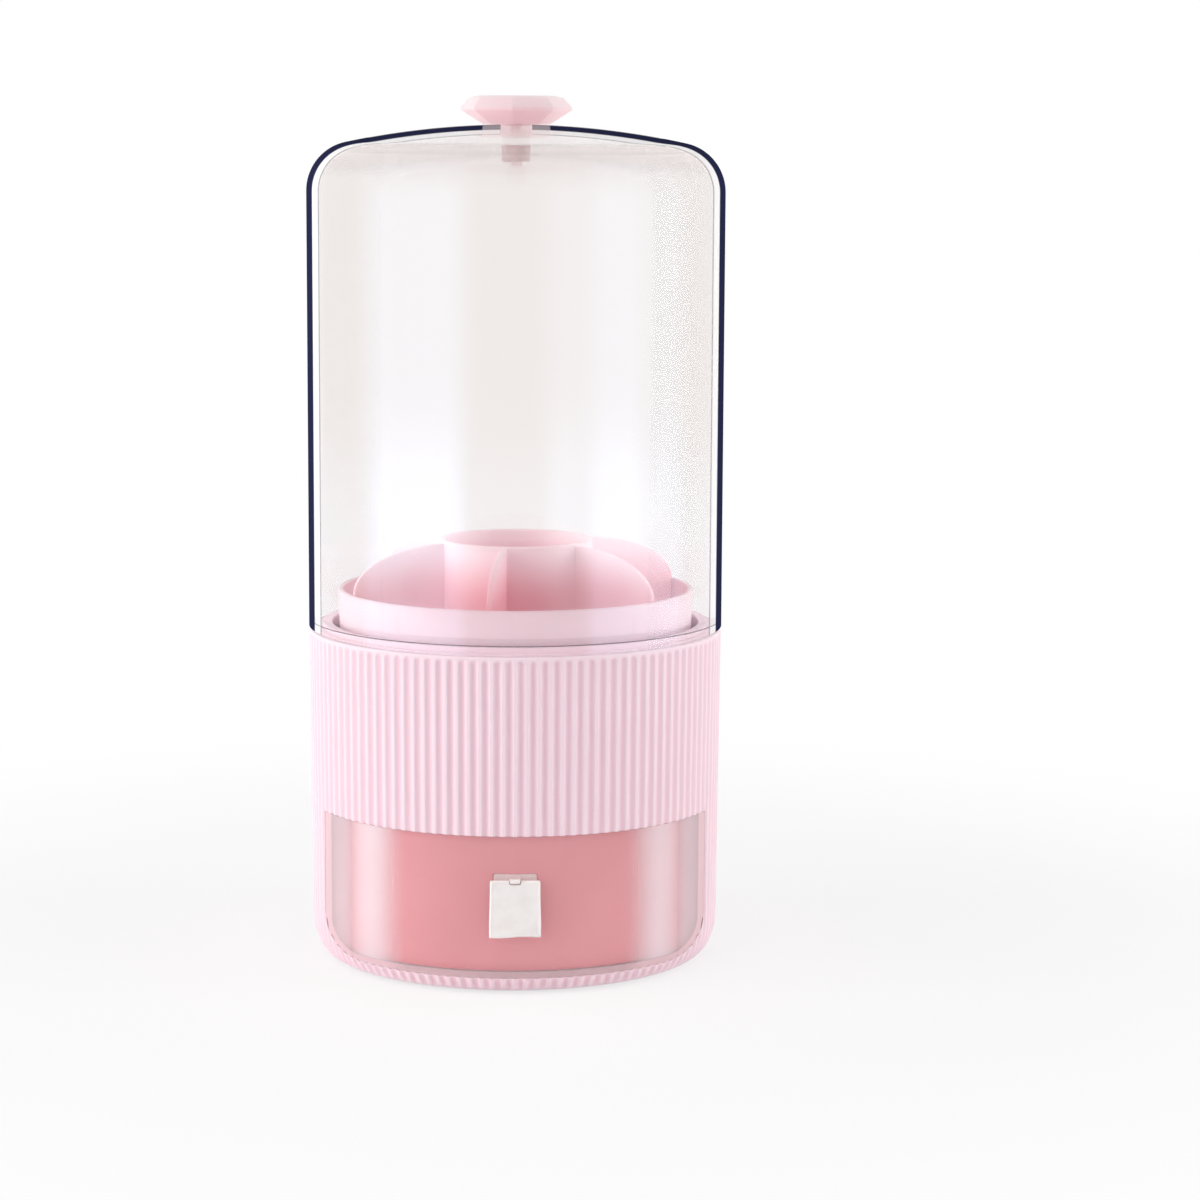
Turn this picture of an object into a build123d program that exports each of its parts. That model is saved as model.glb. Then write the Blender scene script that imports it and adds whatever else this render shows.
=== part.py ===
from build123d import *
from math import hypot, sqrt
import os

# Rotating makeup brush stand with a clear domed cover and one curved drawer.
# Millimetres, +Z up, the object's front faces -Y.
# The origin is the middle of the plane that the feet stand on.

os.makedirs("parts", exist_ok=True)

# Clearances shared by the fits
flat_gap = 0.2
running_gap = 0.05
snug_gap = 0.03
soft_gap = 0.35
bond_gap = 0.1
dome_gap = 0.3

# Angles: a quarter turn, and the direction of the object's front in a turned pattern
quarter_turn = 90.0
front_angle = -quarter_turn

# Body shell: a fluted cylinder with a slight draft and a rounded foot
foot_drop = 0.8
shoulder_z = 108.0
body_radius = 67.4
body_draft = 0.8
shell_wall = 2.6
foot_round_width = 6.5
foot_round_height = 13.0
flute_count = 114
flute_depth = 0.55
flute_width = 2.7
flute_top_margin = 1.0
flange_thickness = 2.1
flange_width = 7.6
ledge_thickness = 4.0
ledge_width = 6.6

# Neck ring inside the top of the shell
neck_skirt = 10.0
neck_step_height = 2.1
neck_top_height = 2.2
neck_step_width = 3.0
neck_wall = 2.3
neck_seat_width = 2.1
neck_seat_height = 3.0
neck_round = 0.5

# Drawer opening and drawer front
front_side_inset = 6.2
front_low_z = 5.8
front_top_z = 51.2
front_corner = 11.7
front_inset = 0.3
front_wall = 2.2
front_gap = 0.25
return_wall = 2.6
return_depth = 8.0
return_length = 12.5
tab_slot_z = 37.4
tab_slot_width = 3.7
tab_slot_height = 1.9

# Drawer tray
tray_wall = 2.0
tray_height = 38.6
tray_back_inset = 5.0
drawer_travel = 74.0
guide_rib = 1.8
guide_rib_overrun = 4.0
catch_width = 14.0
catch_length = 3.0

# Soft pull tab
tab_width = 16.0
tab_height = 18.3
tab_thickness = 1.2
tab_corner = 0.8
anchor_width = 13.3
anchor_height = 3.9
anchor_rise = 1.7
anchor_thickness = 1.4
neck_tongue_width = 3.1
neck_tongue_height = 1.2
bead_radius = 0.75

# Base plate, runners and feet
base_thickness = 2.2
runner_width = 5.0
runner_side_inset = 27.2
runner_end_gap = 2.0
foot_radius = 6.0
foot_edge_inset = 15.3
foot_stem_radius = 2.0
foot_count = 4
foot_turn = 45.0
stop_width = 14.0
stop_length = 4.0
stop_rim_gap = 6.8

# Screws, all of one thread size but for the one in the spindle
screw_radius = 1.25
screw_head_radius = 2.4
screw_head_height = 1.3
screw_slot_width = 0.6
screw_slot_depth = 0.6
base_screw_count = 6
deck_screw_count = 6
deck_screw_length = 3.6
runner_screw_inset = 10.0

# Deck and turntable
deck_thickness = 2.6
deck_boss_radius = 8.0
deck_boss_height = 2.0
spindle_radius = 4.0
spindle_head_radius = 7.0
spindle_head_height = 1.8
race_radius = 40.0
race_width = 8.0
race_thickness = 2.6
race_gap = 2.1
ball_radius = 2.0
ball_count = 16
cage_thickness = 1.4
bush_wall = 1.92
bush_flange_radius = 8.5
bush_flange_height = 1.5
washer_radius = 7.5
washer_thickness = 1.0
spindle_screw_radius = 1.5
spindle_screw_head_radius = 2.9
spindle_screw_head_height = 1.8
spindle_screw_length = 10.0
end_play = 0.5

# Brush cup
cup_rim_z = 121.0
cup_rim_gap = 1.9
cup_draft = 1.6
cup_wall = 1.8
cup_floor = 2.0
cup_rim_round = 0.6
hub_wall = 3.5
tube_radius = 25.2
tube_wall = 1.8
tube_rim_z = 137.0
vane_thickness = 1.8
vane_count = 6
vane_turn = -8.5
cap_radius = 12.0
cap_height = 7.0
cap_wall = 1.2

# Dome cover and knob
dome_overhang = 0.1
dome_wall = 2.0
dome_crown_radius = 260.0
dome_shoulder_round = 16.0
dome_boss_radius = 4.65
dome_boss_length = 12.0
overall_height = 280.0
knob_height = 9.1
knob_sides = 8
knob_turn = -4.1
knob_waist_radius = 18.0
knob_table_radius = 12.2
knob_crown_radius = 15.2
knob_base_radius = 10.9
knob_table_drop = 0.7
knob_waist_drop = 3.7
knob_waist_band = 0.8
stem_radius = 2.0
stem_grip = 5.0
stem_tip_margin = 0.8

# Radii and widths that follow from the sizes above
dome_radius = body_radius + dome_overhang
lip_radius = dome_radius - dome_wall - dome_gap
neck_top_radius = lip_radius - neck_step_width
neck_inner = neck_top_radius - neck_wall
cup_rim_radius = neck_inner - cup_rim_gap
front_half_width = body_radius - front_side_inset
tray_back_radius = body_radius - tray_back_inset

# Heights that follow from the sizes above
dome_top_z = overall_height - knob_height
shell_low_z = foot_drop
round_centre_z = shell_low_z + foot_round_height
body_low_radius = body_radius - body_draft
round_centre_radius = body_low_radius - foot_round_width
opening_low_z = front_low_z - front_gap
opening_top_z = front_top_z + front_gap
flange_top_z = opening_low_z
flange_low_z = flange_top_z - flange_thickness
ledge_low_z = opening_top_z + ledge_thickness / 2
ledge_top_z = ledge_low_z + ledge_thickness
deck_top_z = ledge_top_z + deck_thickness
seat_z = shoulder_z - neck_skirt


def body_radius_at(height):
    """Outer radius of the drafted wall at a height above the rounded foot."""
    share = (height - round_centre_z) / (shoulder_z - round_centre_z)
    return body_low_radius + body_draft * share


def turned_core(inset, low_z, high_z):
    """Solid inside the body's outer surface moved in by inset, between two heights."""
    with BuildPart() as core:
        with BuildSketch(Plane.XZ):
            with BuildLine():
                floor = Line((0, shell_low_z + inset), (round_centre_radius, shell_low_z + inset))
                foot = EllipticalCenterArc(
                    (round_centre_radius, round_centre_z),
                    foot_round_width - inset,
                    foot_round_height - inset,
                    start_angle=front_angle,
                    arc_size=quarter_turn,
                )
                wall = Line(foot @ 1, (body_radius - inset, shoulder_z))
                Polyline(wall @ 1, (0, shoulder_z), floor @ 0)
            make_face()
        revolve(axis=Axis.Z)
        if low_z > shell_low_z + inset:
            split(bisect_by=Plane.XY.offset(low_z), keep=Keep.TOP)
        if high_z < shoulder_z:
            split(bisect_by=Plane.XY.offset(high_z), keep=Keep.BOTTOM)
    return core.part


def front_prism(grow, high_z, back_y):
    """Front view of the drawer front, grown all round up to high_z, run from the front to back_y."""
    with BuildPart() as prism:
        with BuildSketch(Plane.XZ.offset(-back_y)):
            with BuildLine():
                outline = FilletPolyline(
                    (-front_half_width - grow, high_z),
                    (-front_half_width - grow, front_low_z - grow),
                    (front_half_width + grow, front_low_z - grow),
                    (front_half_width + grow, high_z),
                    radius=front_corner + grow,
                )
                Line(outline @ 1, outline @ 0)
            make_face()
        extrude(amount=back_y + body_radius + tab_width)
    return prism.part


def make_screw(length, radius=screw_radius, head_radius=screw_head_radius, head_height=screw_head_height):
    """Pan-head screw on +Z with a cross slot: head above the origin, shank below."""
    with BuildPart() as screw:
        with BuildSketch():
            Circle(head_radius)
        extrude(amount=head_height)
        fillet(screw.edges().sort_by(Axis.Z)[-1], head_height / 2)
        with BuildSketch():
            Circle(radius)
        extrude(amount=-length)
        chamfer(screw.edges().sort_by(Axis.Z)[0], radius / 3)
        with BuildSketch(Plane.XY.offset(head_height)):
            Rectangle(head_radius, screw_slot_width)
            Rectangle(screw_slot_width, head_radius)
        extrude(amount=-screw_slot_depth, mode=Mode.SUBTRACT)
    return screw.part


# Body shell
flute_round = (flute_width**2 / 4 + flute_depth**2) / (2 * flute_depth)
flute_axis_inset = flute_round - flute_depth
wall_direction = Vector(body_draft, 0, shoulder_z - round_centre_z)
flute_plane = Plane(origin=(body_low_radius + flute_axis_inset, 0, round_centre_z), z_dir=wall_direction)
flute_run = shoulder_z - flute_top_margin - round_centre_z

with BuildPart() as flute_cutter:
    with BuildSketch(flute_plane):
        Circle(flute_round)
    extrude(amount=flute_run)
    with BuildSketch(flute_plane):
        Circle(flute_round)
    extrude(amount=-foot_round_height)

seat_radius = body_radius_at(seat_z) - shell_wall - neck_seat_width
base_opening_radius = round_centre_radius - shell_wall
flange_radius = round_centre_radius - flange_width
ledge_radius = body_radius_at(ledge_top_z) - shell_wall - ledge_width
base_screw_ring = base_opening_radius - screw_head_radius - 2 * flat_gap
deck_radius = seat_radius - flat_gap
deck_screw_ring = (ledge_radius + deck_radius) / 2

with BuildPart() as body_shell:
    add(turned_core(0, shell_low_z, shoulder_z))
    add(turned_core(shell_wall, flange_top_z, ledge_low_z), mode=Mode.SUBTRACT)
    add(turned_core(shell_wall, ledge_top_z, seat_z - neck_seat_height), mode=Mode.SUBTRACT)
    add(turned_core(shell_wall, seat_z, shoulder_z), mode=Mode.SUBTRACT)
    with BuildSketch(Plane.XY.offset(seat_z - neck_seat_height)):
        Circle(seat_radius)
    extrude(amount=neck_seat_height, mode=Mode.SUBTRACT)
    with BuildSketch(Plane.XY.offset(ledge_low_z)):
        Circle(ledge_radius)
    extrude(amount=ledge_thickness, mode=Mode.SUBTRACT)
    with BuildSketch(Plane.XY.offset(flange_top_z)):
        Circle(flange_radius)
    extrude(amount=-flange_thickness, mode=Mode.SUBTRACT)
    with BuildSketch(Plane.XY.offset(flange_low_z)):
        Circle(base_opening_radius)
    extrude(amount=shell_low_z - flange_low_z, mode=Mode.SUBTRACT)
    with BuildSketch(Plane.XY.offset(ledge_top_z)):
        with PolarLocations(deck_screw_ring, deck_screw_count):
            Circle(screw_radius)
    extrude(amount=-ledge_thickness, mode=Mode.SUBTRACT)
    with BuildSketch(Plane.XY.offset(flange_low_z)):
        with PolarLocations(base_screw_ring, base_screw_count):
            Circle(screw_radius)
    extrude(amount=flange_thickness, mode=Mode.SUBTRACT)
    with PolarLocations(0, flute_count):
        add(flute_cutter.part, mode=Mode.SUBTRACT)
    add(front_prism(front_gap, opening_top_z, 0), mode=Mode.SUBTRACT)
body_shell.part.label = "body_shell"
export_step(body_shell.part, "parts/body_shell.step")

# Neck ring that stands in the shell's top and locates the dome
neck_outer = body_radius - shell_wall - flat_gap
step_z = shoulder_z + neck_step_height
neck_top_z = step_z + neck_top_height
skirt_radius = body_radius_at(seat_z) - shell_wall - flat_gap

with BuildPart() as neck_ring:
    with BuildSketch(Plane.XZ):
        with BuildLine():
            Polyline(
                (skirt_radius, seat_z),
                (neck_outer, shoulder_z),
                (lip_radius, shoulder_z),
                (lip_radius, step_z),
                (neck_top_radius, step_z),
                (neck_top_radius, neck_top_z),
                (neck_inner, neck_top_z),
                (neck_inner, shoulder_z),
                (skirt_radius - neck_wall, seat_z),
                close=True,
            )
        make_face()
    revolve(axis=Axis.Z)
    fillet(neck_ring.edges().filter_by(GeomType.CIRCLE).group_by(Axis.Z)[-1], neck_round)
    neck_circles = neck_ring.edges().filter_by(GeomType.CIRCLE)
    lip_edges = neck_circles.filter_by(lambda e: abs(e.radius - lip_radius) < neck_round)
    fillet(lip_edges.sort_by(Axis.Z)[-1], neck_round)
neck_ring.part.label = "neck_ring"
export_step(neck_ring.part, "parts/neck_ring.step")

# Base plate with the drawer's stop post and holes for its feet, runners and screws
base_top_z = flange_low_z
base_low_z = base_top_z - base_thickness
base_radius = base_opening_radius - flat_gap
tray_low_z = front_low_z + return_wall + bond_gap
runner_top_z = tray_low_z - flat_gap
guide_low_z = flange_top_z + 2 * front_gap
stop_y = stop_rim_gap + stop_length / 2 - flange_radius
catch_y = stop_y + stop_length / 2 + drawer_travel + flat_gap + catch_length / 2
runner_spread = front_half_width - runner_side_inset
runner_length = 2 * (sqrt(flange_radius**2 - runner_spread**2) - runner_end_gap)
runner_screw_spread = runner_length - 2 * runner_screw_inset
foot_ring_radius = base_radius - foot_edge_inset
runner_screw_places = [
    (side * runner_spread, end * runner_screw_spread / 2) for side in (-1, 1) for end in (-1, 1)
]

with BuildPart() as base_plate:
    with BuildSketch(Plane.XY.offset(base_low_z)):
        Circle(base_radius)
    extrude(amount=base_thickness)
    with BuildSketch(Plane.XY.offset(base_top_z)):
        with Locations((0, stop_y)):
            Rectangle(stop_width, stop_length)
    extrude(amount=runner_top_z - base_top_z)
    with BuildSketch(Plane.XY.offset(base_low_z)):
        with PolarLocations(base_screw_ring, base_screw_count):
            Circle(screw_radius + running_gap)
        with PolarLocations(foot_ring_radius, foot_count, start_angle=foot_turn):
            Circle(foot_stem_radius + snug_gap)
        with Locations(*runner_screw_places):
            Circle(screw_radius + running_gap)
    extrude(amount=base_thickness, mode=Mode.SUBTRACT)
base_plate.part.label = "base_plate"
export_step(base_plate.part, "parts/base_plate.step")

base_screw = make_screw(base_thickness + flange_thickness - flat_gap, head_height=base_low_z - flat_gap)
with BuildPart() as base_screws:
    with Locations(Plane(origin=(0, 0, base_low_z), z_dir=(0, 0, -1))):
        with PolarLocations(base_screw_ring, base_screw_count):
            add(base_screw)
base_screws.part.label = "base_screws"
export_step(base_screws.part, "parts/base_screws.step")

# Soft feet, each with a stem in the base plate
foot_places = PolarLocations(foot_ring_radius, foot_count, start_angle=foot_turn).locations
foot_names = ["foot_back_right", "foot_back_left", "foot_front_left", "foot_front_right"]
for foot_place, foot_name in zip(foot_places, foot_names):
    foot_centre = (foot_place.position.X, foot_place.position.Y)
    with BuildPart() as foot:
        with BuildSketch():
            with Locations(foot_centre):
                Circle(foot_radius)
        extrude(amount=base_low_z)
        chamfer(foot.edges().sort_by(Axis.Z)[0], base_low_z / 4)
        with BuildSketch(Plane.XY.offset(base_low_z)):
            with Locations(foot_centre):
                Circle(foot_stem_radius)
        extrude(amount=base_thickness)
    foot.part.label = foot_name
    export_step(foot.part, f"parts/{foot_name}.step")

# Runners that guide the drawer tray, screwed to the base plate from above
screw_recess = screw_head_height + flat_gap
runner_bed_z = runner_top_z - screw_recess
for side, runner_name in ((-1, "runner_left"), (1, "runner_right")):
    with BuildPart() as runner:
        with BuildSketch(Plane.XY.offset(base_top_z)):
            with Locations((side * runner_spread, 0)):
                RectangleRounded(runner_width + flat_gap, runner_length, runner_width / 2)
        extrude(amount=runner_top_z - base_top_z)
        with BuildSketch(Plane.XY.offset(base_top_z)):
            with Locations((side * runner_spread, 0)):
                with GridLocations(0, runner_screw_spread, 1, 2):
                    Circle(screw_radius + running_gap)
        extrude(amount=runner_top_z - base_top_z, mode=Mode.SUBTRACT)
        with BuildSketch(Plane.XY.offset(runner_bed_z)):
            with Locations((side * runner_spread, 0)):
                with GridLocations(0, runner_screw_spread, 1, 2):
                    Circle(screw_head_radius + running_gap)
        extrude(amount=screw_recess, mode=Mode.SUBTRACT)
    runner.part.label = runner_name
    export_step(runner.part, f"parts/{runner_name}.step")

runner_screw = make_screw(runner_bed_z - base_low_z - flat_gap)
with BuildPart() as runner_screws:
    for screw_x, screw_y in runner_screw_places:
        with Locations((screw_x, screw_y, runner_bed_z)):
            add(runner_screw)
runner_screws.part.label = "runner_screws"
export_step(runner_screws.part, "parts/runner_screws.step")

# Clear drawer front, flush with the shell, with a return along its sides and foot
front_outer = turned_core(front_inset, shell_low_z, shoulder_z)
front_inner = turned_core(front_inset + front_wall, shell_low_z, shoulder_z)
tray_limit = turned_core(front_inset + front_wall + bond_gap, shell_low_z, shoulder_z)
front_back_y = -sqrt(body_low_radius**2 - front_half_width**2) + return_length

with BuildPart() as return_frame:
    add(front_outer)
    with BuildSketch():
        Circle(body_low_radius - front_inset - return_depth)
    extrude(amount=shoulder_z, mode=Mode.SUBTRACT)
    add(front_prism(0, front_top_z, front_back_y), mode=Mode.INTERSECT)
    add(front_prism(-return_wall, front_top_z, 0), mode=Mode.SUBTRACT)

with BuildPart() as drawer_front:
    add(front_outer)
    add(front_inner, mode=Mode.SUBTRACT)
    add(front_prism(0, front_top_z, front_back_y), mode=Mode.INTERSECT)
    add(return_frame.part)
    with BuildSketch(Plane.XZ):
        with Locations((0, tab_slot_z)):
            Rectangle(tab_slot_width, tab_slot_height)
    extrude(amount=dome_radius, mode=Mode.SUBTRACT)
drawer_front.part.label = "drawer_front"
export_step(drawer_front.part, "parts/drawer_front.step")

# Drawer tray: open at the front, rounded to the shell at the back
guide_offset = runner_width / 2 + flat_gap + soft_gap + guide_rib / 2
tray_top_z = tray_low_z + tray_height


def tray_block(shrink, high_z):
    """Tray's outer form moved in by shrink: round at the back, rounded along its lower edges."""
    with BuildPart() as block:
        with BuildSketch():
            Circle(tray_back_radius - shrink)
            with Locations((0, -dome_radius / 2)):
                Rectangle(2 * dome_radius, dome_radius)
        extrude(amount=high_z)
        add(front_prism(-return_wall - bond_gap - shrink, high_z, dome_radius), mode=Mode.INTERSECT)
    return block.part


with BuildPart() as drawer_tray:
    add(tray_block(0, tray_top_z))
    add(tray_block(tray_wall, tray_top_z), mode=Mode.SUBTRACT)
    add(tray_limit, mode=Mode.INTERSECT)
    with BuildSketch(Plane.XY.offset(guide_low_z)):
        for side in (-1, 1):
            with Locations((side * runner_spread, 0)):
                with GridLocations(2 * guide_offset, 0, 2, 1):
                    Rectangle(guide_rib, runner_length + 2 * guide_rib_overrun)
        with Locations((0, catch_y)):
            Rectangle(catch_width, catch_length)
    extrude(amount=tray_low_z - guide_low_z)
drawer_tray.part.label = "drawer_tray"
export_step(drawer_tray.part, "parts/drawer_tray.step")

# Soft pull tab: an anchor bar behind the front, its tongue through the slot, and the hanging flap
front_face_radius = body_radius_at(tab_slot_z) - front_inset
bead_y = -(front_face_radius + bead_radius + bond_gap)
anchor_face_y = -sqrt((front_face_radius - front_wall) ** 2 - (anchor_width / 2) ** 2) + bond_gap
anchor_low_z = tab_slot_z + anchor_rise - anchor_height

with BuildPart() as tab_anchor:
    with BuildSketch(Plane.XZ.offset(-anchor_face_y - anchor_thickness)):
        with Locations((0, anchor_low_z + anchor_height / 2)):
            RectangleRounded(anchor_width, anchor_height, tab_corner)
    extrude(amount=anchor_thickness)
    with BuildSketch(Plane.XZ.offset(-anchor_face_y)):
        with Locations((0, tab_slot_z)):
            Rectangle(neck_tongue_width, neck_tongue_height)
    extrude(amount=anchor_face_y - bead_y)
    with BuildSketch(Plane.YZ.offset(-neck_tongue_width / 2)):
        with Locations((bead_y, tab_slot_z)):
            Circle(bead_radius)
    extrude(amount=neck_tongue_width)
tab_anchor.part.label = "tab_anchor"
export_step(tab_anchor.part, "parts/tab_anchor.step")

flap_top_z = tab_slot_z + tab_thickness / 4
flap_notch = bead_radius + soft_gap
with BuildPart() as pull_tab:
    with BuildSketch(Plane.XZ.offset(-bead_y - tab_thickness / 2)):
        with Locations((0, flap_top_z - tab_height / 2)):
            RectangleRounded(tab_width, tab_height, tab_corner)
        with Locations((0, tab_slot_z)):
            Rectangle(neck_tongue_width + 2 * soft_gap, 2 * flap_notch, mode=Mode.SUBTRACT)
    extrude(amount=tab_thickness)
pull_tab.part.label = "pull_tab"
export_step(pull_tab.part, "parts/pull_tab.step")

# Deck over the drawer bay, with a boss for the spindle
with BuildPart() as deck:
    with BuildSketch(Plane.XY.offset(ledge_top_z)):
        Circle(deck_radius)
    extrude(amount=deck_thickness)
    with BuildSketch(Plane.XY.offset(deck_top_z)):
        Circle(deck_boss_radius)
    extrude(amount=deck_boss_height)
    with BuildSketch(Plane.XY.offset(ledge_top_z)):
        Circle(spindle_radius + snug_gap)
        with PolarLocations(deck_screw_ring, deck_screw_count):
            Circle(screw_radius + running_gap)
    extrude(amount=deck_thickness + deck_boss_height, mode=Mode.SUBTRACT)
deck.part.label = "deck"
export_step(deck.part, "parts/deck.step")

deck_screw = make_screw(deck_thickness + deck_screw_length)
with BuildPart() as deck_screws:
    with Locations((0, 0, deck_top_z)):
        with PolarLocations(deck_screw_ring, deck_screw_count):
            add(deck_screw)
deck_screws.part.label = "deck_screws"
export_step(deck_screws.part, "parts/deck_screws.step")

# Turntable: two grooved races with a ring of caged balls between them
ball_z = deck_top_z + race_thickness + race_gap / 2
groove_radius = ball_radius + running_gap
upper_race_low_z = deck_top_z + race_thickness + race_gap
cup_low_z = upper_race_low_z + race_thickness


def race_ring(low_z):
    """Flat ring with the balls' groove in it."""
    with BuildPart() as race:
        with BuildSketch(Plane.XY.offset(low_z)):
            Circle(race_radius + race_width / 2)
            Circle(race_radius - race_width / 2, mode=Mode.SUBTRACT)
        extrude(amount=race_thickness)
        with BuildSketch(Plane.XZ):
            with Locations((race_radius, ball_z)):
                Circle(groove_radius)
        revolve(axis=Axis.Z, mode=Mode.SUBTRACT)
    return race.part


with BuildPart() as lower_race:
    add(race_ring(deck_top_z))
lower_race.part.label = "lower_race"
export_step(lower_race.part, "parts/lower_race.step")

with BuildPart() as upper_race:
    add(race_ring(upper_race_low_z))
upper_race.part.label = "upper_race"
export_step(upper_race.part, "parts/upper_race.step")

with BuildPart() as ball_cage:
    with BuildSketch(Plane.XY.offset(ball_z - cage_thickness / 2)):
        Circle(race_radius + race_width / 2)
        Circle(race_radius - race_width / 2, mode=Mode.SUBTRACT)
        with PolarLocations(race_radius, ball_count):
            Circle(groove_radius, mode=Mode.SUBTRACT)
    extrude(amount=cage_thickness)
ball_cage.part.label = "ball_cage"
export_step(ball_cage.part, "parts/ball_cage.step")

with BuildPart() as bearing_balls:
    with Locations((0, 0, ball_z)):
        with PolarLocations(race_radius, ball_count):
            Sphere(ball_radius)
bearing_balls.part.label = "bearing_balls"
export_step(bearing_balls.part, "parts/bearing_balls.step")

# Spindle, its bush in the cup, and the washer and screw that keep the cup down
bush_inner = spindle_radius + running_gap
bush_outer = bush_inner + bush_wall
bush_low_z = deck_top_z + deck_boss_height + 2 * flat_gap
cup_floor_z = cup_low_z + cup_floor
bush_top_z = cup_floor_z + bush_flange_height
spindle_top_z = bush_top_z + end_play

with BuildPart() as spindle:
    with BuildSketch(Plane.XY.offset(ledge_top_z)):
        Circle(spindle_head_radius)
    extrude(amount=-spindle_head_height)
    with BuildSketch(Plane.XY.offset(ledge_top_z)):
        Circle(spindle_radius)
    extrude(amount=spindle_top_z - ledge_top_z)
    with BuildSketch(Plane.XY.offset(spindle_top_z)):
        Circle(spindle_screw_radius + snug_gap)
    extrude(amount=-spindle_screw_length, mode=Mode.SUBTRACT)
spindle.part.label = "spindle"
export_step(spindle.part, "parts/spindle.step")

with BuildPart() as hub_bush:
    with BuildSketch(Plane.XY.offset(bush_low_z)):
        Circle(bush_outer)
    extrude(amount=bush_top_z - bush_low_z)
    with BuildSketch(Plane.XY.offset(cup_floor_z)):
        Circle(bush_flange_radius)
    extrude(amount=bush_flange_height)
    with BuildSketch(Plane.XY.offset(bush_low_z)):
        Circle(bush_inner)
    extrude(amount=bush_top_z - bush_low_z, mode=Mode.SUBTRACT)
hub_bush.part.label = "hub_bush"
export_step(hub_bush.part, "parts/hub_bush.step")

with BuildPart() as spindle_washer:
    with BuildSketch(Plane.XY.offset(spindle_top_z)):
        Circle(washer_radius)
        Circle(spindle_screw_radius + running_gap, mode=Mode.SUBTRACT)
    extrude(amount=washer_thickness)
spindle_washer.part.label = "spindle_washer"
export_step(spindle_washer.part, "parts/spindle_washer.step")

screw_seat_z = spindle_top_z + washer_thickness
with BuildPart() as spindle_screw:
    with Locations((0, 0, screw_seat_z)):
        add(
            make_screw(
                spindle_screw_length,
                spindle_screw_radius,
                spindle_screw_head_radius,
                spindle_screw_head_height,
            )
        )
spindle_screw.part.label = "spindle_screw"
export_step(spindle_screw.part, "parts/spindle_screw.step")

# Brush cup: outer tray with a hub under its floor
cup_low_radius = cup_rim_radius - cup_draft
hub_radius = bush_outer + hub_wall

with BuildPart() as cup_tray:
    with BuildSketch(Plane.XZ):
        with BuildLine():
            Polyline(
                (bush_outer + snug_gap, bush_low_z + flat_gap),
                (hub_radius, bush_low_z + flat_gap),
                (hub_radius, cup_low_z),
                (cup_low_radius, cup_low_z),
                (cup_rim_radius, cup_rim_z),
                (cup_rim_radius - cup_wall, cup_rim_z),
                (cup_low_radius - cup_wall, cup_floor_z),
                (bush_outer + snug_gap, cup_floor_z),
                close=True,
            )
        make_face()
    revolve(axis=Axis.Z)
    fillet(cup_tray.edges().filter_by(GeomType.CIRCLE).group_by(Axis.Z)[-1], cup_rim_round)
cup_tray.part.label = "cup_tray"
export_step(cup_tray.part, "parts/cup_tray.step")

# Divider insert: centre tube with six curved vanes, standing in the cup
vane_low_reach = cup_low_radius - cup_wall - flat_gap
vane_high_reach = cup_rim_radius - cup_wall - flat_gap
vane_top_z = tube_rim_z - cup_rim_round
tube_inner = tube_radius - tube_wall
vane_root = tube_radius - tube_wall / 2

with BuildPart() as vane:
    with BuildSketch(Plane.XZ.offset(-vane_thickness / 2)):
        with BuildLine():
            crest = EllipticalCenterArc(
                (vane_root, cup_rim_z),
                vane_high_reach - vane_root,
                vane_top_z - cup_rim_z,
                start_angle=0,
                arc_size=quarter_turn,
            )
            Polyline(
                crest @ 1,
                (vane_root, cup_floor_z),
                (vane_low_reach, cup_floor_z),
                crest @ 0,
            )
        make_face()
    extrude(amount=vane_thickness)

with BuildPart() as divider_insert:
    with BuildSketch(Plane.XY.offset(cup_floor_z)):
        Circle(tube_radius)
        Circle(tube_inner, mode=Mode.SUBTRACT)
    extrude(amount=tube_rim_z - cup_floor_z)
    fillet(divider_insert.edges().group_by(Axis.Z)[-1], cup_rim_round)
    with PolarLocations(0, vane_count, start_angle=front_angle + vane_turn):
        add(vane.part)
divider_insert.part.label = "divider_insert"
export_step(divider_insert.part, "parts/divider_insert.step")

# Cap over the spindle's screw at the bottom of the centre tube
with BuildPart() as hub_cap:
    with BuildSketch(Plane.XY.offset(cup_floor_z)):
        Circle(cap_radius)
    extrude(amount=cap_height)
    fillet(hub_cap.edges().sort_by(Axis.Z)[-1], cap_wall)
    with BuildSketch(Plane.XY.offset(cup_floor_z)):
        Circle(cap_radius - cap_wall)
    extrude(amount=cap_height - cap_wall, mode=Mode.SUBTRACT)
hub_cap.part.label = "hub_cap"
export_step(hub_cap.part, "parts/hub_cap.step")

# Dome cover with a boss under its crown
dome_foot_z = shoulder_z


def dome_solid(inset):
    """Solid inside the dome's outer surface moved in by inset."""
    crown_radius = dome_crown_radius - inset
    round_radius = dome_shoulder_round - inset
    crown_centre_z = dome_top_z - dome_crown_radius
    bend_centre_radius = dome_radius - dome_shoulder_round
    bend_centre_z = crown_centre_z + sqrt(
        (dome_crown_radius - dome_shoulder_round) ** 2 - bend_centre_radius**2
    )
    reach = hypot(bend_centre_radius, bend_centre_z - crown_centre_z)
    tangent_point = (
        bend_centre_radius * crown_radius / reach,
        crown_centre_z + (bend_centre_z - crown_centre_z) * crown_radius / reach,
    )
    with BuildPart() as solid:
        with BuildSketch(Plane.XZ):
            with BuildLine():
                foot = Line((0, dome_foot_z), (dome_radius - inset, dome_foot_z))
                wall = Line(foot @ 1, (dome_radius - inset, bend_centre_z))
                bend = RadiusArc(wall @ 1, tangent_point, -round_radius)
                crown = RadiusArc(bend @ 1, (0, dome_top_z - inset), -crown_radius)
                Line(crown @ 1, foot @ 0)
            make_face()
        revolve(axis=Axis.Z)
    return solid.part


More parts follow.
